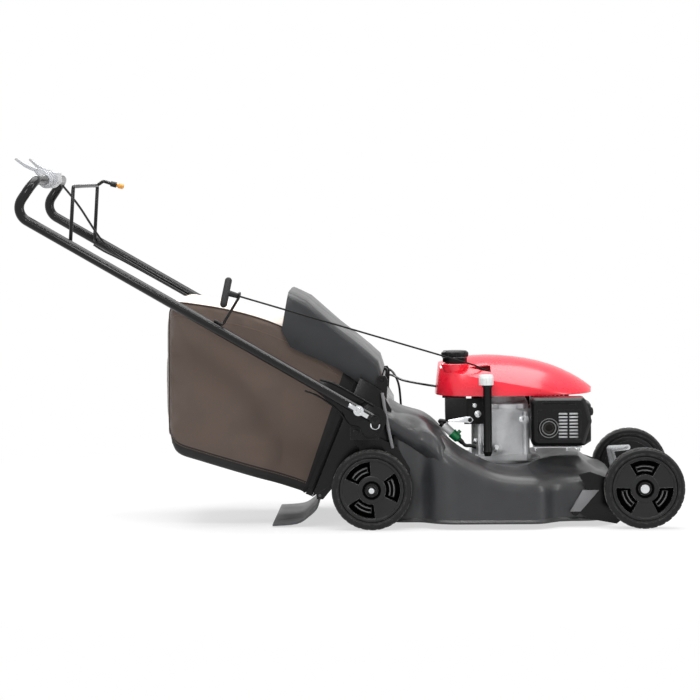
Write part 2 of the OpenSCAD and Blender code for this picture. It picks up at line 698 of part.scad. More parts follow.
case_side = -98;
module crankcase() {
    bolts = [[-31, 277], [66, 262], [0, 186]];
    color([0.72, 0.73, 0.74]) translate([crank_x, 0, 0])
        difference() {
            union() {
                // Round seat on the deck, with a rim
                translate([0, 0, seat_z]) cylinder(r = 108, h = 8);
                translate([0, 0, seat_z + 8]) cylinder(r1 = 108, r2 = 98, h = 6);
                translate([0, 0, seat_z + 6]) linear_extrude(16)
                    polygon([[-76, -80], [-60, -108], [70, -108], [82, -96], [82, 96], [70, 106], [-60, 106], [-76, 80]]);
                // Barrel-sided body
                translate([0, 0, seat_z + 20]) linear_extrude(112)
                    polygon([[-70, -74], [-60, -90], [-44, case_side], [-4, -103], [40, case_side], [66, -90],
                             [79, -76], [79, 76], [66, 90], [40, -case_side], [-44, -case_side], [-60, 90], [-70, 74]]);
                // Joint flange under the cowl
                translate([0, 0, seat_z + 130]) linear_extrude(9)
                    polygon([[-74, -78], [-62, -95], [-46, -103], [44, -103], [70, -95], [79, -84], [79, 84], [70, 95],
                             [44, 103], [-46, 103], [-62, 95], [-74, 78]]);
                translate([0, 0, seat_z + 138]) linear_extrude(14)
                    polygon([[-66, -70], [-50, -94], [62, -94], [75, -80], [75, 80], [62, 94], [-50, 94], [-66, 70]]);
                translate([0, 0, seat_z + 150]) cylinder(r = 70, h = 22);
                // Bosses and bolt heads
                for (p = bolts) across(p.x, case_side - 12, p.y) {
                    cylinder(r = 11, h = 30);
                    translate([0, 0, -5]) cylinder(d = 13, h = 6, $fn = 6);
                }
                for (x = [-50, 68], y = [-96, 96]) translate([x, y, seat_z + 6]) cylinder(r = 8, h = 126);
                // Lugs that the tank is bolted to
                for (y = [-52, 28]) translate([-85, y, 268]) cube([20, 24, 14]);
                // Rib and pad of the maker's plate
                translate([-24, case_side - 8, 206]) cube([4, 12, 80]);
                translate([-2, case_side - 6, 302 - 14]) cube([46, 12, 13]);
            }
            translate([0, 0, -1]) cylinder(d = shaft_d + 2 * fit, h = 500);
        }
}

cyl_z = 248;
fin_low = 50;
cyl_y = -12;
plug_at = [crank_x + 198, cyl_y + 46, cyl_z + 20];

// Finned barrel and head that reach forward from the crankcase
module finned_cylinder() {
    color([0.68, 0.69, 0.7])
        difference() {
            union() {
                translate([crank_x + 79, cyl_y, cyl_z]) rotate([0, 90, 0]) cylinder(r = 44, h = 118);
                for (i = [0:8]) translate([crank_x + 84 + 11 * i, cyl_y - 78, cyl_z - fin_low]) cube([3.5, 156, fin_low + 62]);
                translate([crank_x + 178, cyl_y - 74, cyl_z - fin_low]) cube([20, 148, fin_low + 58]);
            }
            // Plug hole
            translate(plug_at) rotate([0, 90, 20]) translate([0, 0, -30]) cylinder(d = 13, h = 80);
        }
}

module head_cover() {
    color([0.3, 0.31, 0.32])
        translate([crank_x + 198, cyl_y, cyl_z]) difference() {
            hull() {
                for (y = [-56, 56], z = [-46, 46]) translate([0, y, z]) rotate([0, 90, 0]) cylinder(r = 12, h = 22, $fn = 32);
                for (y = [-46, 46], z = [-36, 36]) translate([0, y, z]) rotate([0, 90, 0]) cylinder(r = 12, h = 40, $fn = 32);
            }
            translate(plug_at - [crank_x + 198, cyl_y, cyl_z]) rotate([0, 90, 20]) translate([0, 0, -10]) cylinder(d = 30, h = 90);
        }
}

module spark_plug() {
    color([0.1, 0.1, 0.11]) translate(plug_at) rotate([0, 90, 20]) {
        translate([0, 0, 4]) cylinder(d = 20, h = 14, $fn = 6);
        translate([0, 0, -24]) cylinder(d = 13, h = 40);
        translate([0, 0, 18]) cylinder(d = 22, h = 34);
    }
}

guard_box = [crank_x + 81, crank_x + 233];
outlet = [crank_x + 124, 248];

// Exhaust box on the right of the cylinder
module muffler() {
    color([0.24, 0.22, 0.21])
        difference() {
            union() {
                translate([guard_box.x + 22, -176, 212]) cube([104, 70, 92]);
                across(outlet.x, -196, outlet.y) cylinder(d = outlet_d + 4, h = 24);
                // Tabs that hold the grille
                translate([guard_box.x + 60, -160, 206]) cube([30, 16, 114]);
                translate([crank_x + 150, -108, cyl_z - 14]) rotate([-90, 0, 0]) cylinder(r = 16, h = 18);
            }
            across(outlet.x, -200, outlet.y) cylinder(d = outlet_d, h = 30);
        }
}

// Pressed grille over the exhaust
module muffler_guard() {
    t = 2;
    color([0.06, 0.06, 0.06])
        difference() {
            union() {
                difference() {
                    hull() {
                        for (c = [[10, 214], [10, 312], [126, 312], [124, 214], [140, 264]])
                            across(guard_box.x + c.x, -186, c.y) cylinder(r = 12, h = 62, $fn = 32);
                        for (c = [[16, 220], [16, 308], [121, 308], [119, 220], [133, 264]])
                            across(guard_box.x + c.x, -196, c.y) cylinder(r = 10, h = 8, $fn = 32);
                    }
                    hull() for (c = [[12, 216], [12, 310], [124, 310], [122, 216], [138, 264]])
                        across(guard_box.x + c.x, -186, c.y) cylinder(r = 12 - t, h = 70, $fn = 32);
                    translate([guard_box.x + 14, -196 - 1, 218]) cube([110, 6, 76]);
                }
                // Recessed grille panel
                translate([guard_box.x + 12, -191, 216]) cube([114, 2, 80]);
                // Ring round the outlet
                across(outlet.x, -195, outlet.y) ring(outlet_d / 2 + 9, 4, 6);
            }
            for (i = [0:7]) translate([guard_box.x + 68, -200, 222 + 8.5 * i]) cube([22, 20, 4.5]);
            for (i = [0:7]) translate([guard_box.x + 95, -200, 222 + 8.5 * i]) cube([22, 20, 4.5]);
            translate([guard_box.x + 24, -200, 308]) cube([88, 12, 5]);
            across(outlet.x, -210, outlet.y) cylinder(d = outlet_d + 10, h = 40);
        }
}

// Half width and crown of the engine cover at the share s of its length
function cover_half(s) = cover_w / 2 * pow(max(0.0004, 1 - pow(abs(2 * s - 1), s < 0.5 ? 5 : 2.6)), s < 0.5 ? 0.3 : 0.55);
function cover_crown(s) = cover_z + 8 + (cover_top - cover_z - 8) *
    pow(sin(90 * min(1, (s + 0.55) / 0.9)), 1.2) * pow(max(0.0004, cos(90 * pow(max(0, (s - 0.12) / 0.89), 1.7))), 0.85);
function cover_crease(s) = min(cover_crown(s) - 3, lerp(cover_z + 72, cover_z + 6, pow(min(1, s / 0.82), 0.9)));
function cover_row(s, t) =
    let (x = crank_x - 165 + t + s * (cover_l - 2 * t), w = max(1.2, cover_half(s) - t), a = cover_crease(s) - t * 0.6,
         b = cover_crown(s) - t, lean = function (z) 0.11 * (z - cover_z) * max(0, 1 - 5 * s))
    concat([[x, -w, cover_z]], [[x + lean(lerp(cover_z, a, 0.5)), -w, lerp(cover_z, a, 0.5)]],
        [for (i = [0:12]) let (k = -1 + i / 6, z = max(cover_z + 1, a + (b - a) * (1 - pow(abs(k), 2.2)))) [x + lean(z), w * 0.985 * k, z]],
        [[x + lean(lerp(cover_z, a, 0.5)), w, lerp(cover_z, a, 0.5)]], [[x, w, cover_z]]);

// Pressed cover over the flywheel and the tank
module engine_cover() {
    steps = [0, 0.004, 0.015, 0.035, 0.07, 0.12, 0.18, 0.25, 0.33, 0.41, 0.5, 0.58, 0.66, 0.74, 0.81, 0.87, 0.92, 0.955, 0.98, 0.994, 1];
    color([0.85, 0.07, 0.1])
        difference() {
            skin([for (s = steps) let (o = cover_row(s, 0), i = cover_row(s, 2.4))
                concat(i, [for (k = [len(o) - 1:-1:0]) o[k]])], "strip");
            translate([filler.x, filler.y, cover_z + 20]) cylinder(r = 27, h = 120);
            translate([filler.x, filler.y, 410]) cylinder(r = cap_d / 2 + 2, h = 60);
            // Hole for the brake cable
            translate([crank_x - 172, brake_in.y, brake_in.z]) rotate([0, 90, 0]) cylinder(d = cable_d + 9, h = 30);
            // Slot for the starter rope
            translate(rope_end) rotate([0, 13, 14]) translate([-34, -14, -9]) cube([80, 40, 16]);
        }
}

filler = [crank_x - 113, -92];
brake_in = [crank_x - 160, -40, 344];

module fuel_tank() {
    color([0.07, 0.07, 0.08])
        difference() {
            union() {
                hull() for (x = [crank_x - 127, crank_x - 97], y = [-120, 92])
                    translate([x, y, 266]) cylinder(r = 12, h = 56, $fn = 32);
                hull() for (x = [crank_x - 136, crank_x - 108], y = [-86, 74])
                    translate([x, y, 318]) cylinder(r = 10, h = 58, $fn = 32);
                translate([crank_x - 139, -134, 264]) cube([54, 20, 56]);
                // Tab with the pin of the lever
                translate([crank_x - 90, -116, 252]) cube([50, 4, 66]);
                across(lever_pin.x, -141, lever_pin.z) cylinder(d = 6, h = 27);
                across(lever_pin.x, -144, lever_pin.z) cylinder(d = 11, h = 3 - gap);
                across(lever_pin.x, -143, lever_pin.z) cylinder(d = 6, h = 10);
                translate([filler.x, filler.y, 370]) cylinder(r = 25, h = 41);
            }
            translate([filler.x, filler.y, 300]) cylinder(r = 21, h = 130);
            hull() for (x = [crank_x - 125, crank_x - 99], y = [-104, 88])
                translate([x, y, 269]) cylinder(r = 10, h = 48, $fn = 32);
        }
}

module fuel_cap() {
    color([0.05, 0.05, 0.05])
        difference() {
            union() {
                translate([filler.x, filler.y, 411 + gap]) cylinder(d = cap_d - 5, h = 14);
                translate([filler.x, filler.y, 425]) cylinder(d = cap_d, h = 12);
                translate([filler.x, filler.y, 436]) cylinder(d1 = cap_d - 1, d2 = cap_d - 8, h = 4);
                for (a = [0:20:340]) translate([filler.x, filler.y, 426]) rotate(a)
                    translate([cap_d / 2 - 0.5, -1.5, 0]) cube([1.6, 3, 9]);
            }
            translate([filler.x, filler.y, 400]) cylinder(r = 25 + fit, h = 14);
        }
}

tube_at = [crank_x - 31, -160];

// Filler tube for the oil, up the right side of the crankcase
module oil_fill_tube() {
    color([0.06, 0.06, 0.07])
        difference() {
            union() {
                translate([tube_at.x, tube_at.y, 180]) cylinder(r = 11, h = 176);
                translate([tube_at.x, tube_at.y, 174]) cylinder(r1 = 8, r2 = 13, h = 12);
                hull() {
                    translate([tube_at.x, tube_at.y, 186]) rotate([-90, 0, 0]) cylinder(r = 10, h = 10, $fn = 32);
                    translate([tube_at.x, -112, 192]) rotate([-90, 0, 0]) cylinder(r = 11, h = 11 - gap, $fn = 32);
                }
                translate([tube_at.x, tube_at.y, 350]) cylinder(r = 13, h = 6);
            }
            translate([tube_at.x, tube_at.y, 186]) cylinder(r = 8, h = 200);
        }
}

module oil_dipstick() {
    color([0.62, 0.63, 0.65]) translate([tube_at.x, tube_at.y, 0])
        difference() {
            union() {
                translate([-3, 0, 356 + gap]) cylinder(d = 38, h = 19);
                translate([-3, 0, 375]) cylinder(d1 = 38, d2 = 34, h = 7);
                translate([0, 0, 350]) cylinder(r = 8 - fit, h = 8);
                translate([-2.5, -0.8, 190]) cube([5, 1.6, 162]);
            }
            for (a = [0:30:330]) translate([-3, 0, 352]) rotate(a) translate([19.5, 0, 0]) cylinder(d = 3, h = 20);
        }
}

// Filter box on the left side
module air_cleaner() {
    color([0.08, 0.08, 0.09])
        hull() {
            for (x = [crank_x + 73, crank_x + 178], z = [212, 300]) translate([x, 128, z]) rotate([-90, 0, 0]) cylinder(r = 14, h = 30, $fn = 32);
            for (x = [crank_x + 81, crank_x + 170], z = [220, 292]) translate([x, 128, z]) rotate([-90, 0, 0]) cylinder(r = 12, h = 42, $fn = 32);
        }
}

module carburettor() {
    color([0.6, 0.6, 0.6]) translate([crank_x + 103, 0, 0]) {
        translate([0, 66.5, 256]) rotate([-90, 0, 0]) cylinder(r = 17, h = 61);
        translate([-16, 84, 224]) cube([32, 30, 50]);
        translate([0, 99, 206]) cylinder(r = 17, h = 20);
        translate([-12, 66.5, 244]) cube([24, 8, 24]);
    }
}

// In-line fuel filter with its hose ends under the tank
module fuel_filter() {
    from = [crank_x - 144, -112, 250];
    dir = unit([48, 0, -45]);
    color([0.15, 0.5, 0.28]) {
        along(from, dir) {
            cylinder(r = 8, h = 32);
            translate([0, 0, 31]) cylinder(r = 11, h = 24);
            translate([0, 0, 54]) cylinder(r = 8, h = 10);
        }
        bent_bar([from + dir * 60, from + dir * 78, [crank_x - 60, -112, 192]], 4, 10);
        bent_bar([from + dir * 4, from - dir * 4 + [0, 2, 0], [from.x + 12, -120, 260.5 - gap]], 4, 6);
    }
}

lever_pin = [crank_x - 75.5, -112, 265];

// Lever that turns on the tank's tab
module fuel_lever() {
    color([0.75, 0.76, 0.78])
        difference() {
            union() {
                side(-140, -137) polygon([for (p = [[-56, -4], [-56, 0], [-10, 9], [0, 9], [9, 0], [0, -9], [-8, -7]])
                    [lever_pin.x, lever_pin.z] + p]);
                across(lever_pin.x, -141, lever_pin.z) cylinder(r = 7, h = 4);
            }
            across(lever_pin.x, -150, lever_pin.z) cylinder(d = 6 + 2 * fit, h = 30);
        }
}

// ---------------------------------------------------------------- guard, shield and bag

// Top line of the guard from the hinge to the rear, and its lower edge, from the rear axle
guard_top = [for (p = [[27, 388], [17, 420], [-9, 444], [-45, 474], [-89, 508], [-129, 544], [-165, 576], [-193, 590], [-211, 598]])
    [rear_axle_x + p.x, p.y]];
guard_low = [for (p = [[13, 352], [-1, 350], [-21, 352], [-49, 376], [-85, 400], [-125, 420], [-167, 438], [-207, 458], [-229, 500]])
    [rear_axle_x + p.x, p.y]];

function guard_row(i, t) =
    let (w = guard_half - t, a = guard_low[i], b = guard_top[i], d = unit(b - a), r = 24, h = norm(b - a) - t, pt = function (y, k) [a.x + d.x * k, y, a.y + d.y * k])
    concat([for (k = [0, 0.34, 0.67]) pt(-w, (h - r) * k)],
        [for (q = [0:22.5:90]) pt(-w + r - r * cos(q), h - r + r * sin(q))],
        [for (k = [0.2, 0.4, 0.6, 0.8]) pt(lerp(-w + r, w - r, k), h + 4 * sin(180 * k))],
        [for (q = [90:-22.5:0]) pt(w - r + r * cos(q), h - r + r * sin(q))],
        [for (k = [0.67, 0.34, 0]) pt(w, (h - r) * k)]);

// Sprung rear door that rests on the bag
module discharge_guard() {
    n = len(guard_top);
    color([0.17, 0.18, 0.19])
        difference() {
            union() {
                skin([for (i = [0:n - 1]) let (o = guard_row(i, 0), e = guard_row(i, guard_wall))
                    concat(o, [for (k = [len(e) - 1:-1:0]) e[k]])], "strip");
                // Hinge eyes
                both_sides() across(guard_pivot.x, guard_half - 30, guard_pivot.y) cylinder(r = 9, h = 29);
            }
            across(guard_pivot.x, -300, guard_pivot.y) cylinder(d = 8 + 2 * fit, h = 600);
        }
}

shield_line = curve([for (p = [[0, 0], [-6, -32], [-28, -55], [-60, -74], [-122, -79]]) shield_pivot + p], 4);

// Rubber flap that trails on the ground
module trailing_shield() {
    n = len(shield_line);
    color([0.2, 0.2, 0.21]) {
        side(-shield_w / 2, shield_w / 2)
            polygon(concat([for (p = shield_line) [p.x, p.y]],
                [for (i = [n - 1:-1:0]) let (p = shield_line[i], t = unit(shield_line[min(n - 1, i + 1)] - shield_line[max(0, i - 1)]))
                    [p.x + 4 * t.y, p.y - 4 * t.x]]));
        across(shield_pivot.x, -shield_w / 2, shield_pivot.y) cylinder(d = 9, h = shield_w);
        across(shield_pivot.x, -shield_w / 2 - 9, shield_pivot.y) cylinder(d = 7, h = shield_w + 18);
    }
}

// Sections of the bag from its mouth to the rear: bottom point, top point, half width
bag_rows = [for (r = [
    [[-171, 84], [-46, 386], mouth_w / 2],
    [[-175, 82], [-58, 396], mouth_w / 2 + 1],
    [[-190, 88], [-92, 432], mouth_w / 2 + 2],
    [[-214, 96], [-146, 474], mouth_w / 2 + 2],
    [[-248, 107], [-222, 512], mouth_w / 2 + 4],
    [[-300, 124], [-282, 538], bag_w / 2 - 10],
    [[-370, 146], [-360, 560], bag_w / 2 - 2],
    [[-440, 168], [-436, 574], bag_w / 2],
    [[-490, 184], [-488, 580], bag_w / 2 - 4],
    [[-508, 202], [-506, 572], bag_w / 2 - 12],
    [[-518, 236], [-514, 552], bag_w / 2 - 28]
]) [r[0] + [rear_axle_x, 0], r[1] + [rear_axle_x, 0], r[2]]];
function bag_row(r, t) =
    let (w = r[2] - t, d = unit(r[1] - r[0]), a = r[0] + t * d, b = r[1] - t * d, c = (a + b) / 2, h = norm(b - a) / 2)
    [for (k = [0:23]) let (q = 15 * k + 7.5, u = sign(cos(q)) * pow(abs(cos(q)), 0.34), v = sign(sin(q)) * pow(abs(sin(q)), 0.34))
        [c.x + d.x * h * v, w * u, c.y + d.y * h * v]];

// Cloth bag, open at its mouth
module bag_fabric() {
    n = len(bag_rows);
    color([0.35, 0.29, 0.26])
        skin(concat(
            [for (i = [n - 1:-1:0]) bag_row(bag_rows[i], 0)],
            [for (i = [0:n - 1]) [for (p = bag_row(bag_rows[i], cloth)) [p.x + (i == n - 1 ? cloth : 0), p.y, p.z]]]));
}

// Mouth frame of the bag, with the seal that meets the tunnel
frame_t = 16 + 3 * mouth_dir.y - gap;
module bag_frame() {
    a = bag_rows[0][0];
    b = bag_rows[0][1];
    out = [mouth_dir.y, -mouth_dir.x];
    color([0.08, 0.08, 0.08])
        difference() {
            side(1 - mouth_w / 2, mouth_w / 2 - 1)
                polygon([a + out * gap - mouth_dir * 4, a + out * frame_t - mouth_dir * 4, b + out * frame_t + mouth_dir * 2,
                         b + out * gap + mouth_dir * 2]);
            side(-mouth_w / 2 + 8, mouth_w / 2 - 8)
                polygon([a - out * 5 + mouth_dir * 10, a + out * 30 + mouth_dir * 10, b + out * 30 - mouth_dir * 10,
                         b - out * 5 - mouth_dir * 10]);
        }
}

// ---------------------------------------------------------------- handle and controls

bar_z = handle_top;
corner_x = bar_x - 56;
handle_path = [
    [handle_pivot.x, -handle_y, handle_pivot.y], [corner_x, -handle_y, tube_z(corner_x)], [bar_x, -handle_y, bar_z],
    [bar_x, handle_y, bar_z], [corner_x, handle_y, tube_z(corner_x)], [handle_pivot.x, handle_y, handle_pivot.y]
];

// One tube bent into the whole handle
module handle_tube() {
    color([0.05, 0.05, 0.06])
        difference() {
            union() {
                bent_bar(handle_path, tube_r, bend_r, tube_wall);
                both_sides() across(handle_pivot.x, handle_y - tube_r - gap / 2, handle_pivot.y)
                    cylinder(r = tube_r, h = tube_d + gap / 2);
            }
            both_sides() across(handle_pivot.x, handle_y - 60, handle_pivot.y) cylinder(d = pivot_bolt_d + 2 * fit, h = 100);
            both_sides() across(knob_at.x, handle_y - 60, knob_at.y) cylinder(d = knob_bolt_d + 2 * fit, h = 100);
            both_sides() across(bail_foot_x, handle_y - 60, tube_z(bail_foot_x)) cylinder(d = bail_d + 2 * fit, h = 60);
        }
}

// Wing nut and bolt that lock the handle
module knob() {
    face = handle_y + tube_r + gap;
    across(knob_at.x, plate_y - 5 - gap, knob_at.y) cylinder(d = knob_bolt_d, h = face + 2 - plate_y + 5 + gap);
    across(knob_at.x, plate_y - 5 - gap, knob_at.y) cylinder(d = 15, h = 5);
    across(knob_at.x, face, knob_at.y) cylinder(d = 26, h = 9);
    for (a = [0, 180]) translate([knob_at.x, face + 2, knob_at.y]) rotate([0, atan(handle_slope) + a, 0])
        translate([6, 0, -6]) cube([22, 12, 10]);
}
module knob_right() { color([0.8, 0.81, 0.83]) mirror([0, 1, 0]) knob(); }
module knob_left() { color([0.8, 0.81, 0.83]) knob(); }

guide_off = (tube_r + 3.5 + fit) * unit([handle_slope, 1]);
rope_dir = unit(rope_start - rope_end);
function on_tube(x) = [x + guide_off.x, -handle_y, tube_z(x) + guide_off.y];

// Rod bolted along the tube, with an eye for the starter rope
module rope_guide() {
    down = unit(rope_dir * rope_dir.z - [0, 0, 1]);
    color([0.06, 0.06, 0.07]) {
        bent_bar([on_tube(rope_start.x - 70), on_tube(rope_start.x - 50), rope_start + 8.5 * down], 3.5, 6);
        along(rope_start, rope_dir) rotate_extrude() translate([8.5, 0]) circle(3);
    }
}

module starter_grip() {
    color([0.04, 0.04, 0.05])
        along(rope_start + rope_dir * 17.7, rope_dir) {
            translate([0, 0, -15]) cylinder(r1 = 6.5, r2 = 8, h = 27);
            translate([0, 0, 12]) rotate([0, 0, 25]) hull()
                for (y = [-33, 33]) translate([y, 0, 4]) sphere(r = 9, $fn = 24);
        }
}

rope_line = curve([rope_start, lerp(rope_start, rope_end, 0.33), lerp(rope_start, rope_end, 0.66), rope_end, [350, -105, 392], [374, -86, 383], [398, -63, 376]], 4);
module starter_rope() {
    color([0.08, 0.08, 0.08]) cord(rope_line, rope_d / 2);
}

bail_top = [bail_foot_x + 10, 872];

button_at = [bail_top.x + 46, bail_y - 14, bail_top.y + 3];

// Wire bail that holds the blade control
module bail() {
    foot_z = tube_z(bail_foot_x);
    color([0.05, 0.05, 0.05])
        difference() {
            union() {
                bent_bar([[bail_foot_x, -handle_y + 2, foot_z], [bail_foot_x, -bail_y, foot_z], [bail_top.x, -bail_y, bail_top.y],
                          [bail_top.x, bail_y, bail_top.y], [bail_foot_x, bail_y, foot_z], [bail_foot_x, handle_y - 2, foot_z]],
                         bail_d / 2, bail_bend);
                bent_bar([[bail_top.x, bail_y - 14, bail_top.y], [bail_top.x + 18, bail_y - 14, bail_top.y + 12],
                          button_at - [4, 0, -1]], 4.5, 8);
                translate(button_at - [8, 0, -2]) rotate([0, 105, 0]) cylinder(d = 15, h = 16);
            }
            translate(button_at - [8, 0, -2]) rotate([0, 105, 0]) translate([0, 0, 4]) cylinder(d = 9 + 2 * fit, h = 20);
        }
}

module bail_button() {
    color([0.8, 0.62, 0.3]) translate(button_at - [8, 0, -2]) rotate([0, 105, 0]) {
        translate([0, 0, 9]) cylinder(d = 9, h = 14);
        translate([0, 0, 21]) cylinder(d = 14, h = 12);
        translate([0, 0, 33]) cylinder(d1 = 14, d2 = 9, h = 3);
    }
}

sleeve_r = tube_r + 3;

// Housing of the drive control around the middle of the crossbar
module drive_control() {
    color([0.7, 0.71, 0.73])
        difference() {
            union() {
                difference() {
                    union() {
                        across(bar_x, -56, bar_z) cylinder(r = 22, h = 112);
                        side(-42, 42) polygon([[bar_x + 4, bar_z + 14], [bar_x + 10, bar_z + 22], [bar_x + 26, bar_z + 18],
                                               [bar_x + 28, bar_z - 6], [bar_x + 12, bar_z - 20], [bar_x, bar_z - 10]]);
                    }
                    across(bar_x, -60, bar_z) cylinder(r = sleeve_r + fit, h = 120);
                }
                // Key that seats on the crossbar
                translate([bar_x - 5, -12, bar_z - 20]) cube([10, 24, 10]);
            }
            across(bar_x, -60, bar_z) cylinder(r = tube_r + fit, h = 120);
        }
}

// Two thumb paddles on one sleeve that turns about the crossbar
module drive_paddles() {
    color([0.8, 0.81, 0.83])
        difference() {
            union() {
                across(bar_x, -100, bar_z) cylinder(r = sleeve_r, h = 200);
                both_sides() intersection() {
                    side(57, 136) translate([bar_x, bar_z]) {
                        circle(19);
                        polygon([[6, 17], [-4, 26], [-22, 30], [-42, 41], [-66, 57], [-70, 53], [-46, 34], [-24, 22], [-18, 6]]);
                    }
                    linear_extrude(2000) polygon([for (p = [[30, 57], [30, 80], [-18, 84], [-34, 128], [-62, 136], [-76, 132],
                                                            [-72, 112], [-40, 62], [-20, 57]]) [bar_x + p.x, p.y]]);
                }
            }
            across(bar_x, -200, bar_z) cylinder(r = tube_r + fit, h = 400);
            // Window for the housing's key
            translate([bar_x - 30, -20, bar_z - 34]) cube([60, 40, 30]);
        }
}

// Points along the left handle tube: along it from the pivot, and beside it
function by_tube(l, side, up) = [handle_pivot.x - l, handle_y + side, tube_z(handle_pivot.x - l) + up];

// Brake cable: from the bail down the left tube and over to the engine
brake_line = curve([by_tube(768, -23, -14), by_tube(740, -19, -16), by_tube(680, -17, -12), by_tube(550, -17, -10),
    by_tube(330, -17, -10), by_tube(150, -22, 0), by_tube(50, -27, 26), [guard_pivot.x + 4, 212, guard_pivot.y - 15],
    [guard_pivot.x + 50, 120, guard_pivot.y - 24], [guard_pivot.x + 100, -10, guard_pivot.y - 24], brake_in], 6);
module brake_cable() {
    color([0.05, 0.05, 0.05]) cord(brake_line, cable_d / 2);
}

// Drive cable: from the control down the left tube, through the deck and out to the transmission
drive_line = curve([[bar_x + 28, 50, bar_z - 16], [bar_x + 60, 120, bar_z - 70], [bar_x + 120, 226, bar_z - 180],
    by_tube(640, -25, -6), by_tube(400, -25, -6), by_tube(170, -30, 4), by_tube(60, -32, 52),
    [guard_pivot.x + 2, 220, guard_pivot.y + 2], [drive_in.x - 9, drive_in.y, guard_pivot.y - 28],
    [drive_in.x, drive_in.y, guard_pivot.y - 86], drive_in + [0, 0, 60], drive_in, drive_in - [0, 0, 24],
    drive_in + [-14, 0, -39], drive_in + [-38, -2, -48], [rear_pivot_x + 42, 187, 95], [rear_pivot_x + 22.5, 184, 82]], 5);
module drive_cable() {
    color([0.05, 0.05, 0.05]) cord(drive_line, cable_d / 2);
}

deck_shell();
front_right_bracket();
front_left_bracket();
handle_right_bracket();
handle_left_bracket();
discharge_chute();
guard_hinge_rod();
transmission();
drive_belt();
crankcase();
finned_cylinder();
head_cover();
muffler();
muffler_guard();
engine_cover();
fuel_tank();
oil_fill_tube();
air_cleaner();
carburettor();
fuel_filter();
spark_plug();
crankshaft();
flywheel();
crank_pulley();
blade_holder();
upper_blade();
lower_blade();
blade_bolts();
transmission_pulley();
starter_reel();
drive_shaft();
fuel_cap();
oil_dipstick();
fuel_lever();
front_right_rim();
front_right_tyre();
front_left_rim();
front_left_tyre();
rear_right_rim();
rear_right_tyre();
rear_left_rim();
rear_left_tyre();
front_axle();
rear_axle();
discharge_guard();
trailing_shield();
bag_fabric();
bag_frame();
handle_tube();
knob_right();
knob_left();
rope_guide();
bail();
bail_button();
drive_control();
drive_paddles();
starter_grip();
starter_rope();
brake_cable();
drive_cable();
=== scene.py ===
import math

import bmesh
import bpy
from mathutils import Matrix, Vector


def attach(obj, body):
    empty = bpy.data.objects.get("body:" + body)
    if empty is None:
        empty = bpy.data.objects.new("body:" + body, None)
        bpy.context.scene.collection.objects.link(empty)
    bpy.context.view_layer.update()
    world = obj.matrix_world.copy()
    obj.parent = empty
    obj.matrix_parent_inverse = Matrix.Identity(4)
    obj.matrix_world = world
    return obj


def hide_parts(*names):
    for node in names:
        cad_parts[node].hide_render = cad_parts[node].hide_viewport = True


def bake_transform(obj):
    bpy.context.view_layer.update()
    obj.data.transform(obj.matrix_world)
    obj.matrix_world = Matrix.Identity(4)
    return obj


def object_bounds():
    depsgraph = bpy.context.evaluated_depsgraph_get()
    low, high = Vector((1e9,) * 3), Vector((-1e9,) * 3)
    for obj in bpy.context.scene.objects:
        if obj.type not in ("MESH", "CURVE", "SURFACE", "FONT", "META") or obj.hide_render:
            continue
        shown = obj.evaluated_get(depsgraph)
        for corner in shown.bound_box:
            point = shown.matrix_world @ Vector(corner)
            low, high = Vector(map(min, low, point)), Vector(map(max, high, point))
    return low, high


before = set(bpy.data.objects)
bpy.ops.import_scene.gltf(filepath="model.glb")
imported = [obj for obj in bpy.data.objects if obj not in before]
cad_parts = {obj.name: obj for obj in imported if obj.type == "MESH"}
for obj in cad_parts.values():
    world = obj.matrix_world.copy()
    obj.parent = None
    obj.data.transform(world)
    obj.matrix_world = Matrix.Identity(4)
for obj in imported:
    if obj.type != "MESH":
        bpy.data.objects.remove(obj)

cad_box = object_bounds()
scene = bpy.context.scene
MM = 0.001
# Vertices nearer than this are one, in millimetres
JOIN_WITHIN = 0.001
# Edges that turn by more than this stay sharp, in degrees
SOFT_ANGLE = 32
HANDS = ((-1, "right"), (1, "left"))


# ---------------------------------------------------------------- shader nodes

def join(tree, made, inputs):
    """Joins a node's inputs to sockets, or fills them with values."""
    for key, value in inputs.items():
        if isinstance(value, bpy.types.NodeSocket):
            tree.links.new(value, made.inputs[key])
        else:
            made.inputs[key].default_value = value


def node(tree, kind, inputs=None, **settings):
    """Adds a node, sets it up, and joins or fills its inputs."""
    made = tree.nodes.new(kind)
    for key, value in settings.items():
        setattr(made, key, value)
    join(tree, made, inputs or {})
    return made


def maths(tree, operation, a, b=0.0, clamp=False):
    return node(tree, "ShaderNodeMath", {0: a, 1: b}, operation=operation, use_clamp=clamp).outputs[0]


def band(tree, value, low, high, out_low=0.0, out_high=1.0):
    """Value moved from low..high onto out_low..out_high, held at both ends."""
    return node(tree, "ShaderNodeMapRange", {"Value": value, "From Min": low, "From Max": high,
                                             "To Min": out_low, "To Max": out_high}).outputs[0]


def here(tree):
    """Place in the piece's own space."""
    return node(tree, "ShaderNodeTexCoord").outputs["Object"]


def new_material(name):
    mat = bpy.data.materials.new(name)
    mat.use_nodes = True
    return mat


# ---------------------------------------------------------------- camera, light and floor

WHITE = (1, 1, 1, 1)
FLOOR_GREY = (0.86, 0.86, 0.86, 1)
# Half the floor's side, and how far it lies below the wheels, in metres
FLOOR_REACH, FLOOR_GAP = 14, 0.0004


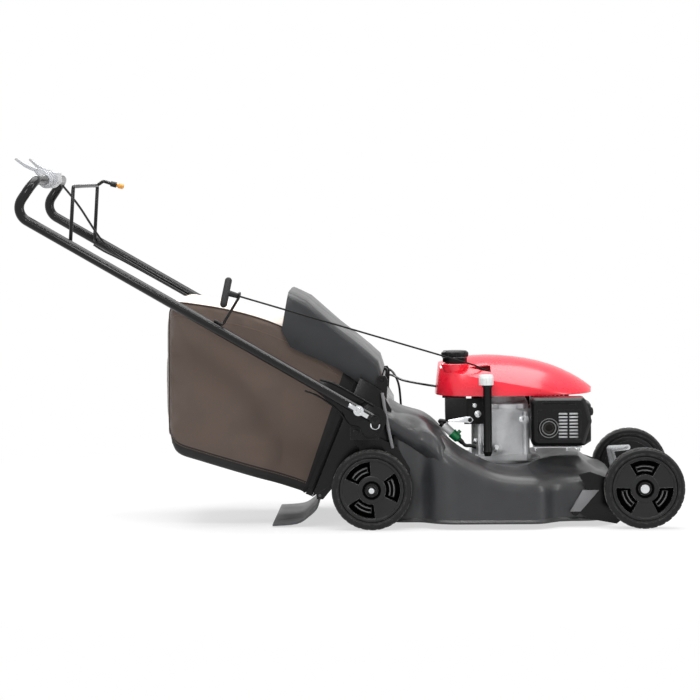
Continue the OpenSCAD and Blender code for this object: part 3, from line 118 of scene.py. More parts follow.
def set_camera():
    """Level view from the mower's right side, a little above it."""
    place = (0.2212, -6.9513, 0.8953)
    yaw, pitch, roll = 0.03136229, 0.0657155, -0.00963136
    ahead = Vector((-math.sin(yaw) * math.cos(pitch), math.cos(yaw) * math.cos(pitch), -math.sin(pitch)))
    right = Vector((math.cos(yaw), math.sin(yaw), 0))
    up = right.cross(ahead)
    across = math.cos(roll) * right + math.sin(roll) * up
    upright = math.cos(roll) * up - math.sin(roll) * right
    cam = bpy.data.cameras.new("camera")
    cam.lens, cam.sensor_width = 137.12, 36
    cam.clip_end = 100
    obj = bpy.data.objects.new("camera", cam)
    axes = Matrix((across, upright, -ahead)).transposed().to_4x4()
    obj.matrix_world = Matrix.Translation(place) @ axes
    scene.collection.objects.link(obj)
    scene.camera = obj


def lamp(name, place, aim, size, power):
    light = bpy.data.lights.new(name, "AREA")
    light.shape, light.size, light.size_y, light.energy = "RECTANGLE", size[0], size[1], power
    obj = bpy.data.objects.new(name, light)
    obj.location = place
    obj.rotation_euler = (Vector(aim) - Vector(place)).to_track_quat("-Z", "Y").to_euler()
    scene.collection.objects.link(obj)


def seen(tree):
    """1 where the camera, a mirror or a glass looks straight at the surface."""
    path = node(tree, "ShaderNodeLightPath").outputs
    seen_or_mirrored = maths(tree, "MAXIMUM", path["Is Camera Ray"], path["Is Glossy Ray"])
    return maths(tree, "MAXIMUM", seen_or_mirrored, path["Is Transmission Ray"])


def set_studio():
    """White surroundings that light the mower only a little, and five lamps."""
    world = bpy.data.worlds.new("studio")
    scene.world = world
    world.use_nodes = True
    tree = world.node_tree
    tree.nodes.clear()
    fill = node(tree, "ShaderNodeBackground", {"Color": WHITE, "Strength": 0.3})
    white = node(tree, "ShaderNodeBackground", {"Color": WHITE, "Strength": 1.0})
    both = node(tree, "ShaderNodeMixShader", {0: seen(tree), 1: fill.outputs[0], 2: white.outputs[0]})
    node(tree, "ShaderNodeOutputWorld", {"Surface": both.outputs[0]})

    lamp("top_softbox", (0.1, 0.4, 3.4), (0.1, 0, 0.3), (3.4, 2.4), 130)
    lamp("top_strip", (0.0, -1.5, 3.0), (0.1, 0, 0.3), (3.6, 0.12), 42)
    lamp("front_softbox", (-1.6, -4.6, 2.4), (0.1, 0, 0.35), (0.9, 1.3), 44)
    lamp("nose_softbox", (3.6, -1.6, 1.6), (0.3, 0, 0.3), (0.7, 1.6), 34)
    lamp("rear_strip", (-1.8, 3.4, 2.4), (0, 0, 0.3), (2.2, 0.6), 44)


def set_floor():
    """Matt floor that turns into plain white away from the mower."""
    bm = bmesh.new()
    bmesh.ops.create_grid(bm, x_segments=1, y_segments=1, size=FLOOR_REACH)
    bmesh.ops.translate(bm, vec=(0, 0, cad_box[0].z - FLOOR_GAP), verts=bm.verts)
    mesh = bpy.data.meshes.new("floor")
    bm.to_mesh(mesh)
    bm.free()
    floor = bpy.data.objects.new("floor", mesh)
    scene.collection.objects.link(floor)
    mat = new_material("floor")
    tree = mat.node_tree
    tree.nodes.clear()
    matt = node(tree, "ShaderNodeBsdfDiffuse", {"Color": FLOOR_GREY})
    glow = node(tree, "ShaderNodeEmission", {"Color": WHITE, "Strength": 1.0})
    far = node(tree, "ShaderNodeVectorMath", {0: here(tree)}, operation="LENGTH").outputs["Value"]
    share = maths(tree, "MULTIPLY", seen(tree), band(tree, far, 0.7, 1.8, 0.62, 1.0))
    both = node(tree, "ShaderNodeMixShader", {0: share, 1: matt.outputs[0], 2: glow.outputs[0]})
    node(tree, "ShaderNodeOutputMaterial", {"Surface": both.outputs[0]})
    mesh.materials.append(mat)


set_camera()
set_studio()
set_floor()
scene.view_settings.view_transform = "Standard"


# ---------------------------------------------------------------- shader groups

def rgb(*values):
    """Colour from 0-255 values as seen."""
    return tuple((v / 255 / 12.92 if v <= 10 else ((v / 255 + 0.055) / 1.055) ** 2.4) for v in values) + (1,)


def group(name, inputs, outputs):
    tree = bpy.data.node_groups.new(name, "ShaderNodeTree")
    for label, kind, value in inputs:
        made = tree.interface.new_socket(name=label, in_out="INPUT", socket_type="NodeSocket" + kind)
        made.default_value = value
    for label, kind in outputs:
        tree.interface.new_socket(name=label, in_out="OUTPUT", socket_type="NodeSocket" + kind)
    return tree, node(tree, "NodeGroupInput").outputs


def cloudy(tree, scale, detail, rough):
    """Noise laid out in the piece's own space."""
    return node(tree, "ShaderNodeTexNoise", {"Vector": here(tree), "Scale": scale, "Detail": detail,
                                             "Roughness": rough}).outputs["Fac"]


def make_grain():
    """Fine texture of a moulded or painted skin: a height and a slow mottling."""
    tree, given = group("skin_grain", [("Size", "Float", 900.0), ("Patches", "Float", 14.0)],
                        [("Height", "Float"), ("Mottle", "Float")])
    node(tree, "NodeGroupOutput", {"Height": cloudy(tree, given["Size"], 2.0, 0.55),
                                   "Mottle": cloudy(tree, given["Patches"], 5.0, 0.6)})
    return tree


def make_wear_and_glint():
    """Mask of rubbed edges, broken up so that it doesn't run on evenly; on the rims and tyres it paints
    bright highlights along the edges.
    """
    tree, given = group("edge_wear_and_glint", [("Width", "Float", 0.002), ("Amount", "Float", 0.5)],
                        [("Mask", "Float")])
    shape = node(tree, "ShaderNodeNewGeometry").outputs["Normal"]
    soft = node(tree, "ShaderNodeBevel", {"Radius": given["Width"]}, samples=6).outputs[0]
    same = node(tree, "ShaderNodeVectorMath", {0: soft, 1: shape}, operation="DOT_PRODUCT").outputs["Value"]
    edge = band(tree, same, 0.985, 0.86)
    patch = band(tree, cloudy(tree, 90.0, 4.0, 0.7), 0.42, 0.62)
    mask = maths(tree, "MULTIPLY", maths(tree, "MULTIPLY", edge, patch), given["Amount"], True)
    node(tree, "NodeGroupOutput", {"Mask": mask})
    return tree


def make_dust():
    """Mask of dust on faces that look up, thicker near the ground."""
    tree, given = group("settled_dust", [("Amount", "Float", 0.3)], [("Mask", "Float")])
    shape = node(tree, "ShaderNodeNewGeometry").outputs["Normal"]
    up = node(tree, "ShaderNodeSeparateXYZ", {0: shape}).outputs["Z"]
    high = node(tree, "ShaderNodeSeparateXYZ", {0: here(tree)}).outputs["Z"]
    cloud = cloudy(tree, 38.0, 7.0, 0.72)
    lying = maths(tree, "MULTIPLY", band(tree, up, 0.1, 0.95), band(tree, cloud, 0.38, 0.75))
    low = band(tree, high, 0.14, 0.0, 0.25, 1.0)
    mask = maths(tree, "MULTIPLY", maths(tree, "MULTIPLY", lying, low), given["Amount"], True)
    node(tree, "NodeGroupOutput", {"Mask": mask})
    return tree


def make_weave():
    """Plain weave of threads along and across the piece's own map."""
    tree, given = group("plain_weave", [("Threads", "Float", 500.0)],
                        [("Height", "Float"), ("Gaps", "Float")])
    at = node(tree, "ShaderNodeUVMap", uv_map="cloth").outputs[0]
    flat = node(tree, "ShaderNodeSeparateXYZ", {0: at}).outputs
    turns = maths(tree, "MULTIPLY", given["Threads"], math.pi)
    u, v = [maths(tree, "MULTIPLY", flat[axis], turns) for axis in "XY"]
    warp, weft = [maths(tree, "ABSOLUTE", maths(tree, "SINE", run)) for run in (u, v)]
    slow_u, slow_v = [maths(tree, "SINE", maths(tree, "MULTIPLY", run, 0.5)) for run in (u, v)]
    over = maths(tree, "GREATER_THAN", maths(tree, "MULTIPLY", slow_u, slow_v), 0.0)
    height = node(tree, "ShaderNodeMix", {"Factor": over, "A": warp, "B": weft}, data_type="FLOAT").outputs[0]
    gaps = band(tree, maths(tree, "MAXIMUM", warp, weft), 0.75, 0.25)
    node(tree, "NodeGroupOutput", {"Height": height, "Gaps": gaps})
    return tree


GRAIN, WEAR_AND_GLINT, DUST, WEAVE = make_grain(), make_wear_and_glint(), make_dust(), make_weave()


# ---------------------------------------------------------------- materials

DUST_COLOUR = rgb(150, 143, 132)
# How much of the mask of dust is added to the roughness, and how far the gloss wanders
DUST_ROUGH, GLOSS_SPREAD = 0.4, 0.12
COAT_ROUGH = 0.12


def use(tree, kind, **inputs):
    return node(tree, "ShaderNodeGroup", inputs, node_tree=kind).outputs


def mixed(tree, share, a, b):
    return node(tree, "ShaderNodeMix", {0: share, 6: a, 7: b}, data_type="RGBA").outputs[2]


def mottled(tree, skin, low, high):
    """Value that wanders between low and high with the skin's mottling."""
    return band(tree, skin["Mottle"], 0.3, 0.7, low, high)


def tinted(tree, skin, colour, low, high):
    """Colour made darker and lighter by the skin's mottling."""
    tone = mottled(tree, skin, low, high)
    return node(tree, "ShaderNodeVectorMath", {0: colour[:3], "Scale": tone}, operation="SCALE").outputs[0]


def finish_of(name, colour, rough, *, metal=0.0, coat=0.0, grain=700, depth=0.00006, mottle=0.12, wear_and_glint=0.0,
              worn_and_lit=(0.3, 0.3, 0.3, 1), width=0.0015, dust=0.0, sheen=0.0, shine=0.5):
    """Hard skin: mottled colour, worn edges that are painted highlights on the rims and tyres, dust, and a
    fine grain in its height and gloss.
    """
    mat = new_material(name)
    tree = mat.node_tree
    skin = use(tree, GRAIN, Size=float(grain), Patches=14.0)
    base = tinted(tree, skin, colour, 1 - mottle, 1 + mottle)
    gloss = mottled(tree, skin, max(0.02, rough - GLOSS_SPREAD / 2), min(1, rough + GLOSS_SPREAD / 2))
    if wear_and_glint:
        base = mixed(tree, use(tree, WEAR_AND_GLINT, Width=width, Amount=wear_and_glint)["Mask"], base, worn_and_lit)
    if dust:
        mask = use(tree, DUST, Amount=dust)["Mask"]
        base = mixed(tree, mask, base, DUST_COLOUR)
        gloss = maths(tree, "ADD", gloss, maths(tree, "MULTIPLY", mask, DUST_ROUGH), True)
    bump = node(tree, "ShaderNodeBump", {"Height": skin["Height"], "Strength": 0.5, "Distance": depth * 4})
    join(tree, tree.nodes["Principled BSDF"], {
        "Base Color": base, "Roughness": gloss, "Metallic": metal, "Coat Weight": coat,
        "Coat Roughness": COAT_ROUGH, "Specular IOR Level": shine, "Sheen Weight": sheen,
        "Normal": bump.outputs[0]})
    return mat


def cloth_of(name, colour, thread, *, threads=520.0, sheen=0.25):
    """Woven cloth: threads with darker gaps, faded patches and a soft sheen."""
    mat = new_material(name)
    tree = mat.node_tree
    weave = use(tree, WEAVE, Threads=threads)
    skin = use(tree, GRAIN, Size=1500.0, Patches=9.0)
    faded = tinted(tree, skin, colour, 0.88, 1.1)
    gap_colour = tuple(c * 0.35 for c in colour[:3]) + (1,)
    base = mixed(tree, maths(tree, "MULTIPLY", weave["Height"], 0.45), faded, thread)
    base = mixed(tree, maths(tree, "MULTIPLY", weave["Gaps"], 0.5), base, gap_colour)
    height = maths(tree, "ADD", weave["Height"], maths(tree, "MULTIPLY", skin["Height"], 0.5))
    bump = node(tree, "ShaderNodeBump", {"Height": height, "Strength": 0.6, "Distance": 0.0004})
    join(tree, tree.nodes["Principled BSDF"], {
        "Base Color": base, "Roughness": mottled(tree, skin, 0.83, 0.93), "Sheen Weight": sheen,
        "Sheen Roughness": 0.5, "Normal": bump.outputs[0]})
    return mat


HARD_SKINS = {
    "deck_paint": dict(colour=rgb(38, 39, 41), rough=0.4, coat=0.12, grain=420, depth=0.00005, wear_and_glint=0.25,
                       worn_and_lit=rgb(120, 120, 122), dust=0.22, shine=0.45),
    "black_paint": dict(colour=rgb(9, 9, 10), rough=0.24, grain=500, wear_and_glint=0.4, worn_and_lit=rgb(120, 120, 123),
                        dust=0.04, shine=0.22),
    "tube_paint": dict(colour=rgb(9, 9, 10), rough=0.2, grain=500, shine=0.3),
    "engine_red": dict(colour=rgb(247, 34, 58), rough=0.26, coat=0.2, grain=260, depth=0.00003, mottle=0.04,
                       wear_and_glint=0.1, worn_and_lit=rgb(244, 120, 124)),
    "black_plastic": dict(colour=rgb(10, 10, 11), rough=0.34, grain=1400, depth=0.00012, wear_and_glint=0.4,
                          worn_and_lit=rgb(110, 110, 112), dust=0.06, shine=0.2),
    "guard_plastic": dict(colour=rgb(37, 38, 40), rough=0.34, grain=1200, depth=0.0001, wear_and_glint=0.35,
                          worn_and_lit=rgb(130, 130, 132), dust=0.12, shine=0.4),
    # Strong light-grey edges here are painted highlights along the rim's edges
    "rim_plastic": dict(colour=rgb(27, 27, 28), rough=0.34, grain=1100, depth=0.0001, wear_and_glint=0.9, width=0.0022,
                        worn_and_lit=rgb(150, 150, 150), dust=0.12, shine=0.25),
    "grey_control": dict(colour=rgb(178, 179, 182), rough=0.34, grain=1300, depth=0.00008, mottle=0.05,
                         wear_and_glint=0.1, worn_and_lit=rgb(214, 214, 216)),
    "filter_plastic": dict(colour=rgb(6, 128, 72), rough=0.3, coat=0.3, grain=600, shine=0.4),
    "yellow_button": dict(colour=rgb(206, 140, 46), rough=0.34, coat=0.2, grain=900, mottle=0.06),
    "soft_grip": dict(colour=rgb(26, 26, 27), rough=0.58, grain=1700, depth=0.00016, wear_and_glint=0.2,
                      worn_and_lit=rgb(80, 80, 82), shine=0.3),
    "belt_rubber": dict(colour=rgb(22, 22, 22), rough=0.75, grain=1500, depth=0.0002, shine=0.2),
    # Strong light-grey edges here are painted highlights on the edges of the tread blocks
    "tyre_rubber": dict(colour=rgb(24, 24, 25), rough=0.5, grain=1500, depth=0.00015, wear_and_glint=0.9, width=0.0024,
                        worn_and_lit=rgb(128, 127, 124), dust=0.22, shine=0.2),
    "flap_rubber": dict(colour=rgb(72, 73, 76), rough=0.5, grain=1200, depth=0.00015, wear_and_glint=0.3,
                        worn_and_lit=rgb(112, 112, 112), dust=0.3, shine=0.35),
    "cord": dict(colour=rgb(24, 24, 25), rough=0.7, grain=2200, depth=0.0003, shine=0.2),
    "cable_jacket": dict(colour=rgb(15, 15, 16), rough=0.36, grain=1500, shine=0.35),
    "cast_alloy": dict(colour=rgb(206, 207, 209), rough=0.4, metal=0.6, grain=1100, depth=0.00035, mottle=0.2,
                       wear_and_glint=0.3, worn_and_lit=rgb(225, 226, 228), dust=0.2),
    "plated_steel": dict(colour=rgb(206, 208, 210), rough=0.26, metal=1.0, wear_and_glint=0.1, worn_and_lit=rgb(235, 235, 235)),
    "steel": dict(colour=rgb(150, 150, 150), rough=0.35, metal=0.9, grain=900, mottle=0.2, wear_and_glint=0.3,
                  worn_and_lit=rgb(215, 215, 215)),
    "dark_metal": dict(colour=rgb(58, 56, 54), rough=0.5, metal=0.6, grain=900, depth=0.0002, mottle=0.3,
                       wear_and_glint=0.3, worn_and_lit=rgb(140, 138, 134)),
    "reel_plastic": dict(colour=rgb(50, 50, 52), rough=0.5, grain=1200, shine=0.3),
    "pale_plastic": dict(colour=rgb(226, 227, 228), rough=0.34, grain=1200, mottle=0.04),
    # Near black that paints the shade inside the rims' windows
    "painted_window_shade": dict(colour=rgb(4, 4, 4), rough=0.9, grain=900, shine=0.02),
    # Light grey that paints highlights: the rims' ribs, the fuel cap's step and the muffler's outlet
    "painted_highlight_grey": dict(colour=rgb(104, 104, 105), rough=0.4, grain=1100, shine=0.4),
    # Grey of the front brackets' patches, also used as a painted highlight along the tunnel's rear flange
    "patch_and_highlight_grey": dict(colour=rgb(118, 118, 120), rough=0.5, grain=900, dust=0.1, shine=0.4),
    "bag_piping": dict(colour=rgb(62, 50, 44), rough=0.8, grain=2400, depth=0.0002, sheen=0.2, shine=0.2),
    "bag_thread": dict(colour=rgb(128, 108, 96), rough=0.7, grain=3000, depth=0.0002, shine=0.2),
}
CLOTHS = {
    "bag_cloth": dict(colour=rgb(82, 68, 60), thread=rgb(100, 84, 75)),
    "bag_top": dict(colour=rgb(232, 218, 206), thread=rgb(246, 236, 228), sheen=0.15),
    "bag_binding": dict(colour=rgb(18, 17, 17), thread=rgb(34, 32, 31), threads=900.0, sheen=0.08),
}
SKINS = {name: finish_of(name, **look) for name, look in HARD_SKINS.items()}
SKINS.update({name: cloth_of(name, **look) for name, look in CLOTHS.items()})


# ---------------------------------------------------------------- CAD solids

WELD_WITHIN = 0.00002


def make_soft_edges():
    """Shades a solid smooth but for the edges that turn by more than an angle."""
    tree = bpy.data.node_groups.new("soft_edges", "GeometryNodeTree")
    tree.interface.new_socket(name="Geometry", in_out="INPUT", socket_type="NodeSocketGeometry")
    limit = tree.interface.new_socket(name="Angle", in_out="INPUT", socket_type="NodeSocketFloat")
    limit.default_value = math.radians(SOFT_ANGLE)
    tree.interface.new_socket(name="Geometry", in_out="OUTPUT", socket_type="NodeSocketGeometry")
    given = node(tree, "NodeGroupInput").outputs
    smooth = "GeometryNodeSetShadeSmooth"
    solid = given["Geometry"]
    faces = node(tree, smooth, {"Geometry": solid, "Shade Smooth": True}, domain="FACE").outputs[0]
    turn = node(tree, "GeometryNodeInputMeshEdgeAngle").outputs["Unsigned Angle"]
    soft = node(tree, "FunctionNodeCompare", {"A": turn, "B": given["Angle"]}, data_type="FLOAT",
                operation="LESS_THAN").outputs[0]
    edges = node(tree, smooth, {"Geometry": faces, "Shade Smooth": soft}, domain="EDGE").outputs[0]
    node(tree, "NodeGroupOutput", {"Geometry": edges})
    return tree


SOFT_EDGES = make_soft_edges()


def soften(obj, bevel, angle=SOFT_ANGLE):
    """Joins a solid's facets, rounds its corners and shades it."""
    weld = obj.modifiers.new("weld", "WELD")
    weld.merge_threshold = WELD_WITHIN
    if bevel:
        round_off = obj.modifiers.new("round", "BEVEL")
        round_off.width, round_off.segments = bevel * MM, 2
        round_off.limit_method, round_off.angle_limit = "ANGLE", math.radians(angle)
        round_off.use_clamp_overlap = True
    shade = obj.modifiers.new("shade", "NODES")
    shade.node_group = SOFT_EDGES


# Material, rounding in millimetres and nodes
DRESS = [
    ("deck_paint", 0.6, ["deck_shell"]),
    ("black_paint", 0.5, ["front_right_bracket", "front_left_bracket", "handle_right_bracket",
                          "handle_left_bracket", "discharge_chute", "guard_hinge_rod", "transmission",
                          "muffler_guard", "rear_axle", "bag_frame"]),
    ("tube_paint", 0.5, ["handle_tube", "rope_guide", "bail"]),
    ("engine_red", 0.8, ["engine_cover"]),
    ("black_plastic", 0.6, ["head_cover", "fuel_tank", "oil_fill_tube", "air_cleaner", "fuel_cap",
                            "spark_plug"]),
    ("guard_plastic", 0.8, ["discharge_guard"]),
    ("rim_plastic", 0.5, ["front_right_rim", "front_left_rim", "rear_right_rim", "rear_left_rim"]),
    ("tyre_rubber", 0.5, ["front_right_tyre", "front_left_tyre", "rear_right_tyre", "rear_left_tyre"]),
    ("grey_control", 0.8, ["drive_control", "drive_paddles"]),
    ("filter_plastic", 0.4, ["fuel_filter"]),
    ("yellow_button", 0.5, ["bail_button"]),
    ("soft_grip", 0.8, ["starter_grip"]),
    ("belt_rubber", 0.0, ["drive_belt"]),
    ("flap_rubber", 0.4, ["trailing_shield"]),
    ("cord", 0.0, ["starter_rope"]),
    ("cable_jacket", 0.0, ["brake_cable", "drive_cable"]),
    ("cast_alloy", 0.5, ["crankcase", "finned_cylinder", "carburettor", "flywheel"]),
    ("plated_steel", 0.3, ["knob_right", "knob_left", "fuel_lever", "blade_bolts", "front_axle"]),
    ("pale_plastic", 0.5, ["oil_dipstick"]),
    ("steel", 0.3, ["crankshaft", "crank_pulley", "upper_blade", "lower_blade", "transmission_pulley",
                    "drive_shaft", "blade_holder"]),
    ("dark_metal", 0.5, ["muffler"]),
    ("reel_plastic", 0.3, ["starter_reel"]),
    ("bag_cloth", 0.0, ["bag_fabric"]),
]
for finish, bevel, names in DRESS:
    for name in names:
        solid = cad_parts[name]
        solid.data.materials.clear()
        solid.data.materials.append(SKINS[finish])
        soften(solid, bevel)


# ---------------------------------------------------------------- modelling tools

def turn_to(direction, place=(0, 0, 0)):
    """Matrix that points +Z along a direction and moves to a place."""
    return Matrix.Translation(place) @ Vector(direction).to_track_quat("Z", "Y").to_matrix().to_4x4()


def turned(bm, profile, steps, closed=False):
    """Spins a profile of (radius, height) about +Z."""
    verts = [bm.verts.new((r, 0, h)) for r, h in profile]
    pairs = list(zip(verts, verts[1:])) + ([(verts[-1], verts[0])] if closed else [])
    edges = [bm.edges.new(p) for p in pairs]
    bmesh.ops.spin(bm, geom=verts + edges, cent=(0, 0, 0), axis=(0, 0, 1), angle=2 * math.pi, steps=steps,
                   use_merge=True)
    bmesh.ops.remove_doubles(bm, verts=bm.verts, dist=JOIN_WITHIN)


def rod(bm, a, b, r, r_end=None, sides=24):
    """Round bar from a to b, tapered where it has a second radius."""
    a, b = Vector(a), Vector(b)
    bmesh.ops.create_cone(bm, cap_ends=True, segments=sides, radius1=r, radius2=r if r_end is None else r_end,
                          depth=(b - a).length, matrix=turn_to(b - a, (a + b) / 2))


def block(bm, low, high):
    low, high = Vector(low), Vector(high)
    verts = bmesh.ops.create_cube(bm, size=1)["verts"]
    bmesh.ops.scale(bm, vec=high - low, verts=verts)
    bmesh.ops.translate(bm, vec=(low + high) / 2, verts=verts)


def curve(points, steps):
    """Smooth run through points, or rows of numbers, with steps from each to the next."""
    p = [Vector(q) for q in points]
    out = []
    for i in range(len(p) - 1):
        a, b, c, d = p[max(0, i - 1)], p[i], p[i + 1], p[min(len(p) - 1, i + 2)]
        for s in range(steps):
            t = s / steps
            out.append(0.5 * (2 * b + (c - a) * t + (2 * a - 5 * b + 4 * c - d) * t * t
                              + (3 * b - a - 3 * c + d) * t ** 3))
    return out + [p[-1]]


def evenly(path, count):
    """Points at equal distances along a path."""
    runs = [0.0]
    for a, b in zip(path, path[1:]):
        runs.append(runs[-1] + (b - a).length)
    out, i = [], 0
    for k in range(count):
        want = runs[-1] * k / (count - 1)
        while i < len(path) - 2 and runs[i + 1] < want:
            i += 1
        out.append(path[i].lerp(path[i + 1], min(1, (want - runs[i]) / (runs[i + 1] - runs[i]))))
    return out


def extruded(bm, edges):
    """Extrudes edges, and gives the new vertices and the edges between them."""
    made = bmesh.ops.extrude_edge_only(bm, edges=edges)["geom"]
    verts = {g for g in made if isinstance(g, bmesh.types.BMVert)}
    return verts, [g for g in made if isinstance(g, bmesh.types.BMEdge) and set(g.verts) <= verts]


def swept(bm, path, r, sides=12):
    """Round bar of radius r along a path."""
    path = [Vector(q) for q in path]
    last = len(path) - 1
    tangents = [(path[min(i + 1, last)] - path[max(i - 1, 0)]).normalized() for i in range(last + 1)]
    start = turn_to(tangents[0], path[0])
    loop = bmesh.ops.create_circle(bm, cap_ends=False, segments=sides, radius=r, matrix=start)["verts"]
    first = edges = list({e for v in loop for e in v.link_edges})
    for i in range(1, last + 1):
        verts, edges = extruded(bm, edges)
        turn = tangents[i - 1].rotation_difference(tangents[i]).to_matrix()
        for v in verts:
            v.co = path[i] + turn @ (v.co - path[i - 1])
    bmesh.ops.holes_fill(bm, edges=first + edges, sides=0)


def ring(bm, centre, axis, major, minor, sides=40):
    turn = turn_to(axis, centre)
    path = [turn @ Vector((major * math.cos(a), major * math.sin(a), 0))
            for a in (2 * math.pi * k / sides for k in range(sides + 1))]
    swept(bm, path, minor, 10)


def lofted(bm, rows):
    """Skin through rows of the same number of points."""
    across, along = len(rows[0]), len(rows)
    made = bmesh.ops.create_grid(bm, x_segments=across - 1, y_segments=along - 1, size=1)["verts"]
    for index, v in enumerate(made):
        v.co = rows[index // across][index % across]


def arc_plate(bm, material, r0, r1, z0, z1, middle, half):
    """Flat ring segment about +Z, from r0 to r1, half an angle either side of its middle in degrees."""
    before = len(bm.faces)
    start = Matrix.Rotation(math.radians(middle - half), 3, "Z")
    verts = [bm.verts.new(start @ Vector((r, 0, z))) for r, z in ((r0, z0), (r1, z0), (r1, z1), (r0, z1))]
    edges = [bm.edges.new((verts[k], verts[(k + 1) % 4])) for k in range(4)]
    made = bmesh.ops.spin(bm, geom=verts + edges, cent=(0, 0, 0), axis=(0, 0, 1),
                          angle=math.radians(2 * half), steps=14)
    last = [g for g in made["geom_last"] if isinstance(g, bmesh.types.BMEdge)]
    bmesh.ops.holes_fill(bm, edges=edges + last, sides=0)
    bm.faces.ensure_lookup_table()
    for f in bm.faces[before:]:
        f.material_index = material


def soft_normals(bm):
    bmesh.ops.remove_doubles(bm, verts=bm.verts, dist=JOIN_WITHIN)
    bmesh.ops.recalc_face_normals(bm, faces=bm.faces)


def piece(name, bm, skins, rides, stands_for=(), bevel=0.0, angle=SOFT_ANGLE, place=None):
    """Makes a piece of a mesh in millimetres, gives it its materials, and hangs it on its body."""
    if place is not None:
        bmesh.ops.transform(bm, matrix=place, verts=bm.verts)
    bmesh.ops.scale(bm, vec=(MM, MM, MM), verts=bm.verts)
    mesh = bpy.data.meshes.new(name)
    bm.to_mesh(mesh)
    bm.free()
    obj = bpy.data.objects.new(name, mesh)
    scene.collection.objects.link(obj)
    for skin in skins:
        mesh.materials.append(SKINS[skin])
    if bevel is not None:
        soften(obj, bevel, angle)
    if rides:
        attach(obj, rides)
    if stands_for:
        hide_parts(*stands_for)
    return obj


def thickened(obj, name, thickness, offset):
    """Gives a skin its thickness in metres: offset -1 lays it inside, 0 on both sides."""
    wall = obj.modifiers.new(name, "SOLIDIFY")
    wall.thickness, wall.offset = thickness, offset


def rounded_out(obj):
    smooth = obj.modifiers.new("soft", "SUBSURF")
    smooth.levels = smooth.render_levels = 1


# ---------------------------------------------------------------- tyres

WHEEL_R, WHEEL_Y = 101.5, 263
FRONT_X, REAR_X = 749, 63
# Corner, its wheel's place along the mower, and its side
WHEELS = [("front_right", FRONT_X, -1), ("front_left", FRONT_X, 1), ("rear_right", REAR_X, -1),
          ("rear_left", REAR_X, 1)]
# Radius of the grooves, edges of the four rows of blocks, and faces round the tyre
GROOVE_R = WHEEL_R - 1.9
TREAD = (-17, -8.5, 0, 8.5, 17)
TYRE_STEPS = 120
# Sidewall from the rim outwards: radius and distance from the tyre's middle
SIDEWALL = [(78.6, 12), (81.9, 17.2), (83, 19.6), (86.5, 20.3), (87.2, 21.1), (88.6, 21.1), (89.3, 20.5),
            (94, 21.9), (97.4, 21), (GROOVE_R, 18.6)]


def wheel_place(x, side):
    """Wheel axes on the mower: +Z runs outwards from the middle line, +Y up."""
    turn = Matrix(((-side, 0, 0), (0, 0, side), (0, 1, 0))).to_4x4()
    return Matrix.Translation((x, side * WHEEL_Y, WHEEL_R)) @ turn


def raise_blocks(bm, row, low, high):
    """Raises three faces in four round one row of the tread, staggered from row to row."""
    raised = []
    for f in bm.faces:
        c = f.calc_center_median()
        if low < c.z < high and math.hypot(c.x, c.y) > GROOVE_R - 0.5:
            k = int(round(math.degrees(math.atan2(c.y, c.x)) % 360 / (360 / TYRE_STEPS) - 0.5))
            if (k + (row % 2) * 2 + (row // 2)) % 4 < 3:
                raised.append(f)
    made = bmesh.ops.extrude_face_region(bm, geom=raised)["geom"]
    bmesh.ops.delete(bm, geom=raised, context="FACES_ONLY")
    lift = 1.9 if row in (1, 2) else 1.7
    for v in (g for g in made if isinstance(g, bmesh.types.BMVert)):
        r = math.hypot(v.co.x, v.co.y)
        v.co.x *= (r + lift) / r
        v.co.y *= (r + lift) / r


def tyre(corner, x, side):
    """Solid tyre: rounded sidewalls with a ring, and four staggered rows of tread blocks."""
    bm = bmesh.new()
    profile = [(r, -h) for r, h in SIDEWALL] + [(GROOVE_R, h) for h in TREAD] + SIDEWALL[::-1]
    turned(bm, profile, TYRE_STEPS, closed=True)
    soft_normals(bm)
    for row, (low, high) in enumerate(zip(TREAD, TREAD[1:])):
        raise_blocks(bm, row, low, high)
    piece(corner + "_tyre_tread", bm, ["tyre_rubber"], corner + "_wheel", [corner + "_tyre"],
          0.4, 40, wheel_place(x, side))


for corner, x, side in WHEELS:
    tyre(corner, x, side)


# ---------------------------------------------------------------- wheel details

FRONT_WINDOWS, REAR_WINDOWS = (90, 210, 330), (125, 245, 5)


def rim_window_shade_and_highlights(corner, x, side):
    """Painted shade on the floors of the rim's windows and between their ribs, light grey ribs that paint
    highlights on their blocks, and a ring of painted shade round the hub.
    """
    dark, bright = 0, 1
    bm = bmesh.new()
    for a in FRONT_WINDOWS if x == FRONT_X else REAR_WINDOWS:
        middle = a if side < 0 else 180 - a
        # Painted shade: a black floor in each window
        arc_plate(bm, dark, 36.4, 71.6, 0.1, 0.7, middle, 31.6)
        for r in (45.6, 55.4):
            # Painted highlights: two light grey ribs
            arc_plate(bm, bright, r, r + 1.8, 9.5, 11.2, middle, 22)
        # Painted shade between the ribs
        arc_plate(bm, dark, 48.2, 54.4, 9.6, 10.2, middle, 22.5)
    # Painted shade: a black ring round the hub
    arc_plate(bm, dark, 17.6, 24, 19.4, 20.4, 0, 179.9)
    soft_normals(bm)
    piece(corner + "_rim_window_shade_and_highlights", bm, ["painted_window_shade", "painted_highlight_grey"], corner + "_wheel",
          bevel=0.2, place=wheel_place(x, side))


for corner, x, side in WHEELS:
    rim_window_shade_and_highlights(corner, x, side)

for side, hand in HANDS:
    bm = bmesh.new()
    turned(bm, [(0, 33), (4, 33), (7, 31.5), (7, 26)], 32)
    soft_normals(bm)
    piece("rear_" + hand + "_hub_bolt", bm, ["plated_steel"], "rear_axle", bevel=None,
          place=wheel_place(REAR_X, side))


# ---------------------------------------------------------------- deck and bracket details

